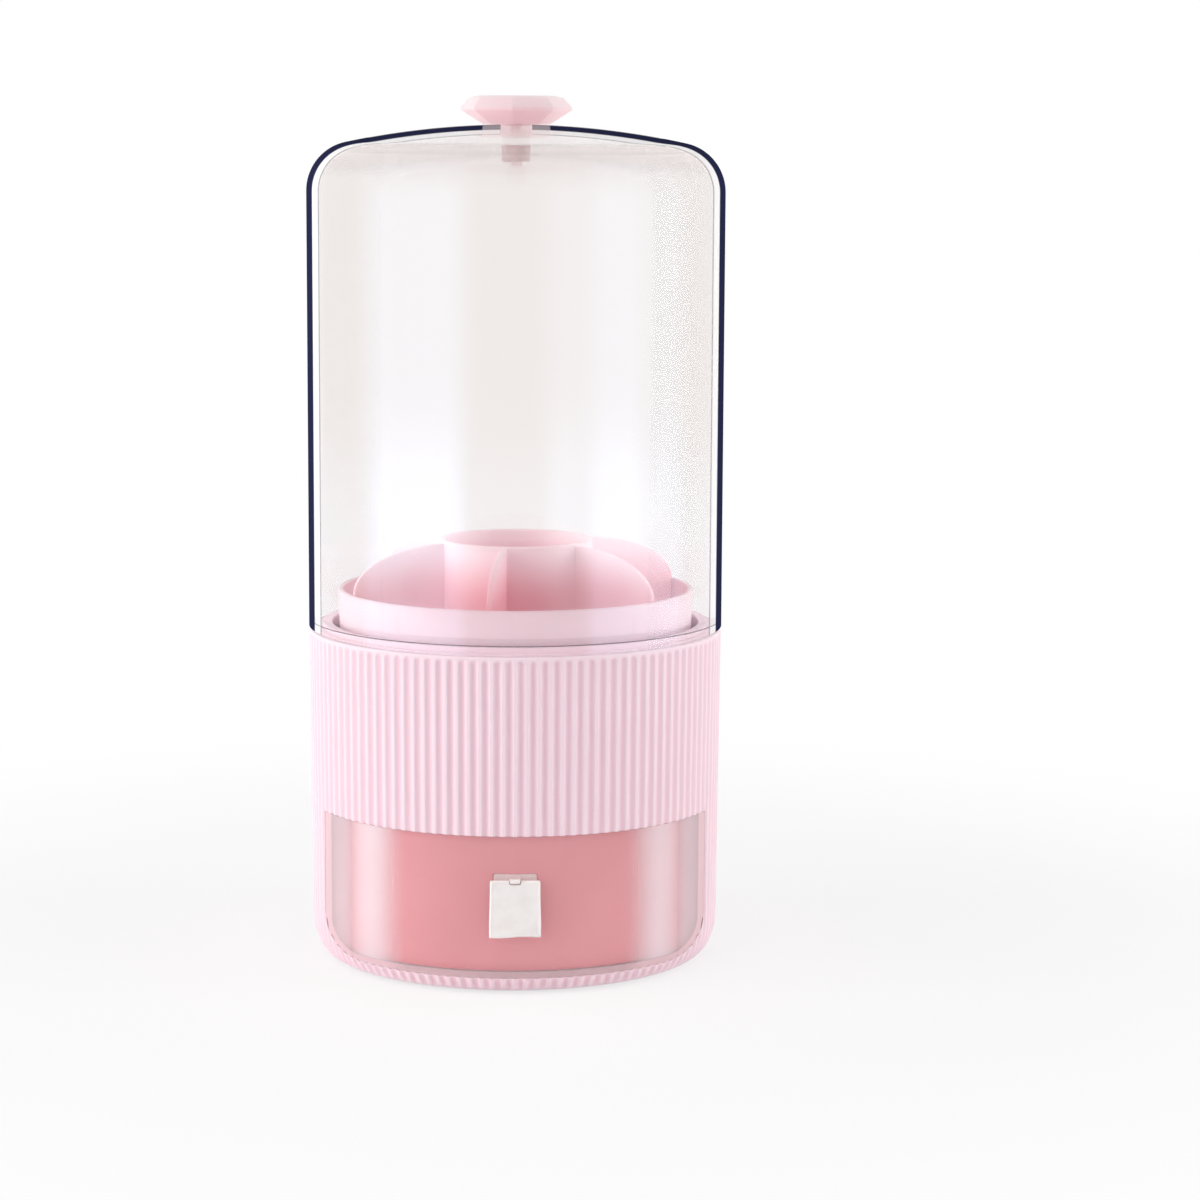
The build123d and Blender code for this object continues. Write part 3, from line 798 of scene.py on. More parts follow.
@dataclass(frozen=True)
class Palette:
    """Every finish on the stand, by the name that the sub-assemblies ask for."""

    body_plastic: MouldedPlastic = MouldedPlastic(
        "body_pink_plastic",
        paint(249, 221, 231),
        paint(250, 224, 234),
        roughness=0.36,
        glow=0.1,
        shine=0.7,
        coat=0.3,
        coat_rough=0.35,
        # Painted shade in the flute grooves.
        painted_groove_shade=paint(241, 203, 215),
    )
    cup_plastic: MouldedPlastic = MouldedPlastic(
        "cup_pink_plastic",
        paint(252, 227, 235),
        paint(253, 230, 238),
        roughness=0.34,
        glow=0.1,
        coat=0.4,
        coat_rough=0.3,
    )
    divider_plastic: MouldedPlastic = MouldedPlastic(
        "divider_pink_plastic",
        paint(253, 233, 239),
        paint(254, 236, 242),
        roughness=0.34,
        glow=0.1,
        coat=0.4,
        coat_rough=0.3,
        # Painted light: a weak glow, stronger to both sides.
        painted_glow=(0.08, 0.05, 0.055),
        painted_side_glow=(0.175, 0.19, 0.195),
        # Painted shade low down between the vanes.
        painted_low_shade=paint(237, 168, 177),
    )
    drawer_plastic: MouldedPlastic = MouldedPlastic(
        "drawer_pink_plastic",
        paint(244, 176, 181),
        paint(247, 184, 189),
        roughness=0.4,
        glow=0.1,
        # Painted light: a weak pink glow in the bin.
        painted_glow=(0.09, 0.028, 0.032),
    )
    knob_plastic: MouldedPlastic = MouldedPlastic(
        "knob_pink_plastic",
        paint(245, 222, 225),
        paint(243, 217, 221),
        roughness=0.3,
        glow=0.2,
        coat=0.1,
        # Painted light on the knob's faces that look down.
        painted_under_glow=(0.22, 0.165, 0.18),
    )
    # The outer wall carries the painted highlight bands.
    dome_outer: ClearPlastic = EdgedClearPlastic("dome_clear_outer", painted_highlight_share=1.0)
    dome_crown: ClearPlastic = EdgedClearPlastic("dome_clear_crown", crown_open=0.15, shine=0.5)
    dome_inner: ClearPlastic = ClearPlastic("dome_clear_inner")
    window_outer: FrostedPlastic = FrostedPlastic(
        "drawer_front_outer",
        (0.99, 0.96, 0.96),
        0.04,
        0.05,
        paint(250, 244, 250),
        # Painted highlight: whitish milky bands to each side.
        painted_side_highlight=0.56,
        flank_milk=0.6,
        border_milk=0.6,
        border_colour=paint(226, 192, 198),
    )
    window_inner: FrostedPlastic = FrostedPlastic(
        "drawer_front_inner",
        (0.99, 0.95, 0.95),
        0.12,
        0.92,
        paint(233, 155, 161),
        # Painted highlight: a little more milk to each side.
        painted_side_highlight=0.1,
        pad_clear=0.9,
    )
    window_edge: FrostedPlastic = FrostedPlastic(
        "drawer_front_edge", (0.97, 0.93, 0.93), 0.25, 0.7, paint(232, 198, 204)
    )
    soft_white: SoftMoulding = SoftMoulding("tab_soft_white", paint(251, 248, 246), paint(244, 240, 238))
    foot_rubber: SoftMoulding = SoftMoulding(
        "foot_soft_grey", paint(226, 220, 220), paint(210, 204, 205), roughness=0.75
    )
    acetal: MouldedPlastic = MouldedPlastic(
        "acetal_ivory", paint(238, 234, 226), paint(232, 227, 218), roughness=0.3, glow=0.2
    )
    steel: BrightSteel = BrightSteel("plated_steel", paint(196, 198, 202), paint(158, 154, 150))


# Mesh tools


def arc_corner(before: Point, corner: Point, after: Point, radius: float) -> list[Point]:
    """Rounds one corner of a profile.

    Args:
        before: The point before the corner.
        corner: The corner.
        after: The point after it.
        radius: The rounding's radius.

    Returns:
        The arc's points in order.
    """
    here = Vector(corner)
    back = (Vector(before) - here).normalized()
    on = (Vector(after) - here).normalized()
    half = back.angle(on) / 2
    reach = radius / math.tan(half)
    centre = here + (back + on).normalized() * (radius / math.sin(half))
    start = here + back * reach - centre
    end = here + on * reach - centre
    turn = start.angle_signed(end)
    made = []
    for step in range(CORNER_STEPS + 1):
        angle = -turn * step / CORNER_STEPS
        x = centre.x + start.x * math.cos(angle) - start.y * math.sin(angle)
        y = centre.y + start.x * math.sin(angle) + start.y * math.cos(angle)
        made.append((x, y))
    return made


def rounded(points: Sequence[tuple[float, ...]]) -> list[Point]:
    """Closed profile with some corners rounded.

    Args:
        points: Corners in order, each with a third number where it is rounded to that radius.

    Returns:
        The profile's points.
    """
    made: list[Point] = []
    count = len(points)
    for place, point in enumerate(points):
        if len(point) == 2:
            made.append((point[0], point[1]))
        else:
            before, after = points[place - 1], points[(place + 1) % count]
            made += arc_corner(before[:2], point[:2], after[:2], point[2])
    return made


def tub_outline(half: float, low: float, high: float, corner: float) -> list[Point]:
    """An upright rectangle with rounded lower corners.

    Args:
        half: Half its width.
        low: Its bottom.
        high: Its top.
        corner: The lower corners' radius.

    Returns:
        X and Z of its points.
    """
    return rounded([(-half, high), (-half, low, corner), (half, low, corner), (half, high)])


def linked(name: str, data: Any) -> bpy.types.Object:
    """A new object with this mesh, light or camera, in the scene."""
    thing = bpy.data.objects.new(name, data)
    bpy.context.scene.collection.objects.link(thing)
    return thing


def shade(thing: bpy.types.Object) -> bpy.types.Object:
    """Smooth shading with sharp edges."""
    thing.data.polygons.foreach_set("use_smooth", [True] * len(thing.data.polygons))
    thing.data.set_sharp_from_angle(angle=SHARP_ANGLE)
    thing.data.update()
    return thing


def new_object(
    name: str, points: Sequence[Sequence[float]], faces: Sequence[Sequence[int]]
) -> bpy.types.Object:
    """A mesh object from points in millimetres.

    Args:
        name: The piece's name.
        points: Its points.
        faces: Its faces as point numbers.

    Returns:
        The object.
    """
    mesh = bpy.data.meshes.new(name)
    mesh.from_pydata([[value * MM for value in point] for point in points], [], faces)
    return linked(name, mesh)


def closed_shape(
    name: str, points: Sequence[Sequence[float]], faces: Sequence[Sequence[int]]
) -> bpy.types.Object:
    """A closed solid from points in millimetres, with its faces turned outwards.

    Args:
        name: The piece's name.
        points: Its points; those in the same place are merged.
        faces: Its faces as point numbers.

    Returns:
        The solid.
    """
    thing = new_object(name, points, faces)
    mesh = bmesh.new()
    mesh.from_mesh(thing.data)
    bmesh.ops.remove_doubles(mesh, verts=mesh.verts, dist=1e-7)
    bmesh.ops.recalc_face_normals(mesh, faces=mesh.faces)
    mesh.to_mesh(thing.data)
    mesh.free()
    return shade(thing)


def quads(
    rows: int, columns: int, ring: bool = False, closed: bool = False, first: int = 0
) -> list[Sequence[int]]:
    """Faces of a grid of points that are numbered row by row.

    Args:
        rows: How many rows the grid has.
        columns: How many points a row has.
        ring: Whether the points of a row close to a ring.
        closed: Whether the last row joins the first one.
        first: The number of the grid's first point.

    Returns:
        The faces as point numbers.
    """
    faces: list[Sequence[int]] = []
    for row in range(rows if closed else rows - 1):
        here, above = first + row * columns, first + (row + 1) % rows * columns
        for column in range(columns if ring else columns - 1):
            after = (column + 1) % columns
            faces.append((here + column, above + column, above + after, here + after))
    return faces


def turned_over(faces: Sequence[Sequence[int]]) -> list[Sequence[int]]:
    """The same faces seen from behind, each from its first point on."""
    return [(face[0], *reversed(face[1:])) for face in faces]


def lathe(name: str, profile: Sequence[Point], steps: int = 256) -> bpy.types.Object:
    """Turns a closed profile about the stand's axis.

    Args:
        name: The piece's name.
        profile: Radius and height of each point, none on the axis.
        steps: How many columns go round.

    Returns:
        The turned piece.
    """
    points = []
    for step in range(steps):
        angle = 2 * math.pi * step / steps
        across, away = math.cos(angle), math.sin(angle)
        points += [(radius * across, radius * away, height) for radius, height in profile]
    return closed_shape(name, points, quads(steps, len(profile), ring=True, closed=True))


def prism(name: str, outline: Sequence[Point], low: float, high: float) -> bpy.types.Object:
    """A closed outline run straight along Y.

    Args:
        name: The piece's name.
        outline: X and Z of each point.
        low: Where the run starts.
        high: Where it ends.

    Returns:
        The solid.
    """
    count = len(outline)
    points = [(x, y, z) for y in (low, high) for x, z in outline]
    ends = [tuple(range(count)), tuple(range(2 * count - 1, count - 1, -1))]
    return closed_shape(name, points, ends + quads(2, count, ring=True))


def bake(thing: bpy.types.Object) -> bpy.types.Object:
    """Turns an object with modifiers into a plain mesh and removes the modifiers."""
    bpy.context.view_layer.update()
    graph = bpy.context.evaluated_depsgraph_get()
    mesh = bpy.data.meshes.new_from_object(thing.evaluated_get(graph), depsgraph=graph)
    thing.modifiers.clear()
    thing.data = mesh
    return thing


def combine(thing: bpy.types.Object, cuts: Sequence[tuple[Cut, bpy.types.Object]]) -> bpy.types.Object:
    """Cuts a closed shape by others, and removes these.

    Args:
        thing: The shape that is worked on.
        cuts: What is done, and the shape that does it, in order.

    Returns:
        The worked shape as a plain mesh.
    """
    for cut, tool in cuts:
        change = thing.modifiers.new(cut.value, "BOOLEAN")
        change.operation, change.object, change.solver = cut.value, tool, "EXACT"
    bake(thing)
    for _, tool in cuts:
        bpy.data.objects.remove(tool)
    return thing


def soften(thing: bpy.types.Object, width: float, angle: float = 40) -> bpy.types.Object:
    """Rounds a shape's sharp edges a little.

    Args:
        thing: The shape.
        width: The rounding's width in millimetres.
        angle: Only edges that turn by more than this are rounded, in degrees.

    Returns:
        The same object as a plain mesh.
    """
    change = thing.modifiers.new("soften", "BEVEL")
    change.width, change.segments = width * MM, 2
    change.limit_method, change.angle_limit = "ANGLE", math.radians(angle)
    return shade(bake(thing))


def copy_of(node: str, name: str) -> bpy.types.Object:
    """A merged copy of a CAD node's mesh, with its flat faces joined up.

    Args:
        node: The CAD node.
        name: The new piece's name.

    Returns:
        The copy as an object of its own.
    """
    mesh = bmesh.new()
    mesh.from_mesh(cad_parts[node].data)
    bmesh.ops.remove_doubles(mesh, verts=mesh.verts, dist=2e-6)
    bmesh.ops.dissolve_limit(mesh, angle_limit=math.radians(0.3), verts=mesh.verts, edges=mesh.edges)
    made = bpy.data.meshes.new(name)
    mesh.to_mesh(made)
    mesh.free()
    return shade(linked(name, made))


def dress(thing: bpy.types.Object, *materials: bpy.types.Material) -> bpy.types.Object:
    """Gives an object its materials, the first one everywhere unless faces say otherwise.

    Args:
        thing: The object.
        materials: Its materials by slot.

    Returns:
        The same object.
    """
    thing.data.materials.clear()
    for material in materials:
        thing.data.materials.append(material)
    if len(materials) == 1:
        thing.data.polygons.foreach_set("material_index", [0] * len(thing.data.polygons))
    return thing


class ShapeTree(Sheet):
    """A geometry node tree with named inputs."""

    KINDS = {int: "NodeSocketInt", float: "NodeSocketFloat", bpy.types.Material: "NodeSocketMaterial"}

    def __init__(self, name: str) -> None:
        """Makes a tree that takes and gives a geometry."""
        tree = bpy.data.node_groups.new(name, "GeometryNodeTree")
        super().__init__(tree)
        tree.interface.new_socket("Geometry", in_out="INPUT", socket_type="NodeSocketGeometry")
        tree.interface.new_socket("Geometry", in_out="OUTPUT", socket_type="NodeSocketGeometry")
        self.inlet = self.node("NodeGroupInput")
        self.given: dict[str, Any] = {}

    @property
    def base(self) -> bpy.types.NodeSocket:
        """The geometry of the object that the tree works on."""
        return self.inlet.outputs["Geometry"]

    def upright(self, height: Value) -> bpy.types.NodeSocket:
        """A vector of this length along Z."""
        return self.node("ShaderNodeCombineXYZ", None, {2: height}).outputs[0]

    def set_out(self, points: Any, shape: Any, turns: Any) -> bpy.types.NodeSocket:
        """Copies of a shape on points.

        Args:
            points: The points.
            shape: The shape.
            turns: Each copy's turn about the axes, or a link.

        Returns:
            The copies.
        """
        sockets = {"Points": points, "Instance": shape, "Rotation": turns}
        return self.node("GeometryNodeInstanceOnPoints", None, sockets).outputs[0]

    def takes(self, name: str, value: Any) -> Value:
        """Adds a named input.

        Args:
            name: The input's name.
            value: What it is set to on the object.

        Returns:
            The input as a value.
        """
        kind = bpy.types.Material if isinstance(value, bpy.types.Material) else type(value)
        item = self.tree.interface.new_socket(name, in_out="INPUT", socket_type=self.KINDS[kind])
        self.given[item.identifier] = value
        return Value(self, self.inlet.outputs[name])

    def grow(
        self, thing: bpy.types.Object, shape: bpy.types.NodeSocket, material: Value
    ) -> bpy.types.Object:
        """Ends the tree, runs it on an object and keeps the result as a plain mesh.

        Args:
            thing: The object whose mesh the tree starts from.
            shape: The geometry that the tree has made.
            material: The finish that every face gets.

        Returns:
            The object with its new mesh.
        """
        real = self.node("GeometryNodeRealizeInstances", None, {0: shape})
        sockets = {"Geometry": real.outputs[0], "Material": material}
        dressed = self.node("GeometryNodeSetMaterial", None, sockets)
        self.node("NodeGroupOutput", None, {0: dressed.outputs[0]})
        change = thing.modifiers.new(self.tree.name, "NODES")
        change.node_group = self.tree
        for identifier, value in self.given.items():
            change[identifier] = value
        return bake(thing)


def settle(thing: bpy.types.Object, body: str, slot: str, *nodes: str) -> None:
    """Rides a finished piece on its body in place of its CAD nodes, and reports it.

    Args:
        thing: The finished piece.
        body: The CAD body that carries it.
        slot: The record's material slot; not used.
        nodes: The CAD nodes that it stands for.
    """
    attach(thing, body)
    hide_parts(*nodes)
    LOG.info("%s on %s: %d faces", thing.name, body, len(thing.data.polygons))


def keep_nodes(slots: Slots, slot: str, *nodes: str) -> None:
    """Keeps the shape of CAD nodes and gives them a finish.

    Args:
        slots: The finished materials.
        slot: The record's material slot.
        nodes: The CAD nodes.
    """
    for node in nodes:
        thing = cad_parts[node]
        dress(thing, slots[slot])
        LOG.info("%s keeps its shape", node)


# Sub-assemblies


@dataclass
class Body:
    """The fluted shell with its neck ring, base plate, runners, feet, deck and spindle."""

    shoulder_z: float = 108.0
    radius: float = 67.4
    draft: float = 0.8
    wall: float = 2.6
    foot_z: float = 0.8
    foot_width: float = 6.5
    foot_height: float = 13.0
    flute_count: int = 114
    flute_depth: float = 0.55
    flute_share: float = 0.365
    flute_top: float = 105.7
    flute_end: float = 1.3
    flute_start: float = 2.2
    columns: int = 912
    base_opening: float = 57.5
    flange: tuple[float, float, float] = (52.5, 3.45, 5.55)
    flange_root: float = 62.47
    ledge: tuple[float, float, float] = (57.8, 53.45, 57.45)
    seat: tuple[float, float, float] = (62.6, 95.0, 98.0)
    opening_half_width: float = 61.45
    opening_low: float = 5.55
    opening_top: float = 51.45
    opening_corner: float = 11.95
    opening_margin: float = 10.0
    rim_round: float = 0.45
    rows: Sequence[float] = (20.0, 35.0, 51.5, 70.0, 90.0, 104.0)
    top_rows: Sequence[float] = (105.4, 105.8, 106.2, 106.5, 106.8, 107.0, 107.3)
    collar: Sequence[tuple[float, ...]] = (
        (64.52, 98.0),
        (64.6, 108.0),
        (65.2, 108.0),
        (65.2, 108.5, 0.2),
        (63.1, 108.5),
        (63.0, 110.1, 0.35),
        (59.9, 110.1, 0.5),
        (59.9, 108.0),
        (62.2, 98.0),
    )

    @property
    def foot_top(self) -> float:
        """Height where the rounded foot meets the wall."""
        return self.foot_z + self.foot_height

    def wall_radius(self, height: float, inset: float = 0.0) -> float:
        """Radius of the drafted wall at a height, less an inset."""
        fall = (self.shoulder_z - height) / (self.shoulder_z - self.foot_top)
        return self.radius - self.draft * fall - inset

    def foot_arc(self, inset: float, steps: int) -> list[Point]:
        """The rounded foot from its bottom up to the wall.

        Args:
            inset: How far inside the outer surface.
            steps: How many chords it has.

        Returns:
            Radius and height of its points.
        """
        centre, top = self.wall_radius(self.foot_top) - self.foot_width, self.foot_top
        width, height = self.foot_width - inset, self.foot_height - inset
        angles = [math.pi / 2 * step / steps for step in range(steps + 1)]
        return [(centre + width * math.sin(angle), top - height * math.cos(angle)) for angle in angles]

    def profile(self) -> list[Point]:
        """Section of the shell, without its flutes."""
        top, ledge, seat, flange = self.shoulder_z, self.ledge, self.seat, self.flange
        outer = self.foot_arc(0, 14)
        outer += [(self.wall_radius(height), height) for height in (*self.rows, *self.top_rows)]
        edge = (self.wall_radius(top, self.wall), top)
        rim = arc_corner(outer[-1], (self.radius, top), edge, self.rim_round)
        inner = [
            edge,
            (self.wall_radius(seat[2], self.wall), seat[2]),
            (seat[0], seat[2]),
            (seat[0], seat[1]),
            (self.wall_radius(seat[1], self.wall), seat[1]),
            (self.wall_radius(ledge[2], self.wall), ledge[2]),
            (ledge[0], ledge[2]),
            (ledge[0], ledge[1]),
            (self.wall_radius(ledge[1], self.wall), ledge[1]),
            *[point for point in reversed(self.foot_arc(self.wall, 10)) if point[1] > flange[2]],
            (self.flange_root, flange[2]),
            (flange[0], flange[2]),
            (flange[0], flange[1]),
            (self.base_opening, flange[1]),
            (self.base_opening, self.foot_z),
        ]
        return outer + rim + inner

    def opening(self) -> bpy.types.Object:
        """The block that the drawer's opening takes out of the shell."""
        half, low, corner = self.opening_half_width, self.opening_low, self.opening_corner
        outline = tub_outline(half, low, self.opening_top, corner)
        return prism("opening_block", outline, -self.radius - self.opening_margin, 0)

    def flute(self, shell: bpy.types.Object, material: bpy.types.Material) -> bpy.types.Object:
        """Presses the flutes into the outer surface by geometry nodes.

        Args:
            shell: The plain shell.
            material: The body's finish.

        Returns:
            The fluted shell.
        """
        tree = ShapeTree("fluting")
        count = tree.takes("Flute count", self.flute_count)
        depth = tree.takes("Flute depth", self.flute_depth * MM)
        share = tree.takes("Half width share", self.flute_share)
        top = tree.takes("Flute top", self.flute_top * MM)
        end = tree.takes("Rounded end", self.flute_end * MM)
        inside = tree.takes("Outer surface radius", (self.radius - self.draft - self.foot_width) * MM)
        finish = tree.takes("Finish", material)
        across, away, height = tree.parts(tree.node("GeometryNodeInputPosition").outputs[0])
        angle = tree.math("ARCTAN2", away, across)
        phase = ((angle * count / (2 * math.pi) + 0.5).part() - 0.5).size() / share
        past = ((height - top) / end).most(0.0)
        low = (height - self.foot_z * MM).ramp(0.0, self.flute_start * MM)
        press = (1.0 - phase * phase - past * past).most(0.0) * low
        normal = tree.node("GeometryNodeInputNormal").outputs[0]
        outward = tree.parts(normal)
        facing = outward[0] * across + outward[1] * away
        radius = tree.math("SQRT", across * across + away * away)
        wanted = radius.above(inside - 1e-5) * facing.above(0.0)
        way = 0.0 - press * depth * wanted
        push = tree.node("ShaderNodeVectorMath", {"operation": "SCALE"}, {0: normal, "Scale": way})
        marked = tree.node(
            "GeometryNodeStoreNamedAttribute",
            {"data_type": "FLOAT", "domain": "POINT"},
            {"Geometry": tree.base, "Name": HOLLOW, "Value": press * wanted},
        )
        sockets = {"Geometry": marked.outputs[0], "Offset": push.outputs[0]}
        return tree.grow(shell, tree.node("GeometryNodeSetPosition", None, sockets).outputs[0], finish)

    def build(self, slots: Slots) -> None:
        """Builds and dresses everything on the base."""
        shell = self.flute(lathe("body_fluted_shell", self.profile(), self.columns), slots["body_plastic"])
        shade(combine(shell, [(Cut.TAKE_AWAY, self.opening())]))
        settle(dress(shell, slots["body_plastic"]), "base", "body_plastic", "body_shell")
        neck = lathe("neck_collar", rounded(self.collar))
        settle(dress(neck, slots["body_plastic"]), "base", "body_plastic", "neck_ring")
        keep_nodes(slots, "body_plastic", "base_plate", "deck")
        keep_nodes(slots, "steel", "base_screws", "runner_screws", "deck_screws")
        keep_nodes(slots, "steel", "spindle", "spindle_washer", "spindle_screw")
        keep_nodes(slots, "acetal", "runner_left", "runner_right", "lower_race")
        feet = [f"foot_{end}_{side}" for end in ("front", "back") for side in ("left", "right")]
        keep_nodes(slots, "foot_rubber", *feet)


@dataclass
class Cup:
    """The turning brush cup: tray, divider insert, bush, race and cap."""

    rim_z: float = 121.0
    rim_radius: float = 58.0
    low_radius: float = 56.4
    low_z: float = 67.35
    floor_z: float = 69.35
    wall: float = 1.8
    hub: tuple[float, float, float] = (6.0, 9.47, 62.65)
    foot_rounds: Point = (1.2, 0.8)
    rim_round: float = 0.7
    tube_radius: float = 25.2
    tube_wall: float = 1.8
    tube_z: float = 137.0
    vane_count: int = 6
    vane_turn: float = -8.5
    vane_thickness: float = 1.8
    vane_gap: float = 0.2
    crest_steps: int = 28
    crest_round: float = 0.6
    crest_insets: Sequence[float] = (0.0, 0.12, 0.35)

    def vane(self) -> bpy.types.Object:
        """One curved vane along +X, its crest a quarter ellipse with rounded edges."""
        root = self.tube_radius - self.tube_wall / 2
        reach = self.rim_radius - self.wall - self.vane_gap
        foot = self.low_radius - self.wall - self.vane_gap
        rise = self.tube_z - self.rim_round - self.rim_z
        half = self.vane_thickness / 2
        crown = self.crest_round
        across = [-half + inset for inset in self.crest_insets]
        across += [0.0, *(half - inset for inset in reversed(self.crest_insets))]
        points: list[tuple[float, float, float]] = []
        for step in range(self.crest_steps + 1):
            angle = math.pi / 2 * (1 - step / self.crest_steps)
            x = root + (reach - root) * math.cos(angle)
            z = self.rim_z + rise * math.sin(angle)
            lean = Vector((math.cos(angle) * rise, math.sin(angle) * (reach - root))).normalized()
            for y in across:
                past = max(0.0, abs(y) - (half - crown))
                drop = crown - math.sqrt(max(0.0, crown**2 - past**2))
                points.append((x - lean.x * drop, y, z - lean.y * drop))
        count = len(across)
        faces = quads(self.crest_steps + 1, count)
        low = len(points)
        points += [(root, -half, self.floor_z), (root, half, self.floor_z)]
        points += [(foot, -half, self.floor_z), (foot, half, self.floor_z)]
        last = self.crest_steps * count
        left = [step * count for step in range(self.crest_steps + 1)]
        right = [step * count + count - 1 for step in range(self.crest_steps + 1)]
        faces.append((*left, low + 2, low))
        faces.append((*reversed(right), low + 1, low + 3))
        faces.append((*range(count), low + 1, low))
        faces.append((*range(last, last + count), low + 3, low + 2))
        faces.append((low, low + 1, low + 3, low + 2))
        return closed_shape("vane", points, faces)

    def dividers(self, material: bpy.types.Material) -> bpy.types.Object:
        """The centre tube with its ring of vanes, joined by geometry nodes.

        Args:
            material: The cup's finish.

        Returns:
            The divider insert.
        """
        inner, low, high = self.tube_radius - self.tube_wall, self.floor_z, self.tube_z
        rim = [(self.tube_radius, high, self.rim_round), (inner, high, self.rim_round)]
        tube = lathe("cup_dividers", rounded([(inner, low), (self.tube_radius, low), *rim]), 192)
        vane = self.vane()
        tree = ShapeTree("vane_ring")
        count = tree.takes("Vane count", self.vane_count)
        start = tree.takes("First vane", math.radians(-90 + self.vane_turn))
        finish = tree.takes("Finish", material)
        points = tree.node("GeometryNodeMeshCircle", None, {"Vertices": count, "Radius": 0.0})
        blade = tree.node("GeometryNodeObjectInfo", {"transform_space": "ORIGINAL"}, {"Object": vane})
        number = Value(tree, tree.node("GeometryNodeInputIndex").outputs[0])
        turns = tree.upright(start + number * (2 * math.pi) / count)
        ring = tree.set_out(points.outputs[0], blade.outputs["Geometry"], turns)
        real = tree.node("GeometryNodeRealizeInstances", None, {0: ring})
        union = tree.node("GeometryNodeMeshBoolean", {"operation": "UNION", "solver": "EXACT"})
        union.inputs["Self Intersection"].default_value = True
        for source in (tree.base, real.outputs[0]):
            tree.tree.links.new(source, union.inputs["Mesh 2"])
        tree.grow(tube, union.outputs[0], finish)
        bpy.data.objects.remove(vane)
        return shade(tube)

    def build(self, slots: Slots) -> None:
        """Builds and dresses everything on the cup."""
        bore, hub_radius, hub_low = self.hub
        profile = [
            (bore, hub_low),
            (hub_radius, hub_low),
            (hub_radius, self.low_z),
            (self.low_radius, self.low_z, self.foot_rounds[0]),
            (self.rim_radius, self.rim_z, self.rim_round),
            (self.rim_radius - self.wall, self.rim_z, self.rim_round),
            (self.low_radius - self.wall, self.floor_z, self.foot_rounds[1]),
            (bore, self.floor_z),
        ]
        tray = lathe("cup_tray_bowl", rounded(profile))
        settle(dress(tray, slots["cup_plastic"]), "cup", "cup_plastic", "cup_tray")
        insert = dress(self.dividers(slots["divider_plastic"]), slots["divider_plastic"])
        settle(insert, "cup", "cup_plastic", "divider_insert")
        keep_nodes(slots, "cup_plastic", "hub_cap")
        keep_nodes(slots, "acetal", "hub_bush", "upper_race")


@dataclass
class BallRing:
    """The caged balls that the cup turns on."""

    radius: float = 40.0
    height: float = 63.7
    ball: float = 2.0
    count: int = 16

    def balls(self, material: bpy.types.Material) -> bpy.types.Object:
        """The ring of balls, set out by geometry nodes."""
        tree = ShapeTree("ball_ring")
        count = tree.takes("Ball count", self.count)
        radius = tree.takes("Ring radius", self.radius * MM)
        ball = tree.takes("Ball radius", self.ball * MM)
        height = tree.takes("Height", self.height * MM)
        finish = tree.takes("Finish", material)
        circle = tree.node("GeometryNodeMeshCircle", None, {"Vertices": count, "Radius": radius})
        sockets = {"Geometry": circle.outputs[0], "Offset": tree.upright(height)}
        raised = tree.node("GeometryNodeSetPosition", None, sockets)
        sphere = tree.node("GeometryNodeMeshIcoSphere", None, {"Radius": ball, "Subdivisions": 4})
        ring = tree.set_out(raised.outputs[0], sphere.outputs[0], (0, 0, 0))
        return shade(tree.grow(new_object("turntable_balls", [], []), ring, finish))

    def build(self, slots: Slots) -> None:
        """Builds the balls and dresses their cage."""
        settle(dress(self.balls(slots["steel"]), slots["steel"]), "ball_ring", "steel", "bearing_balls")
        keep_nodes(slots, "acetal", "ball_cage")


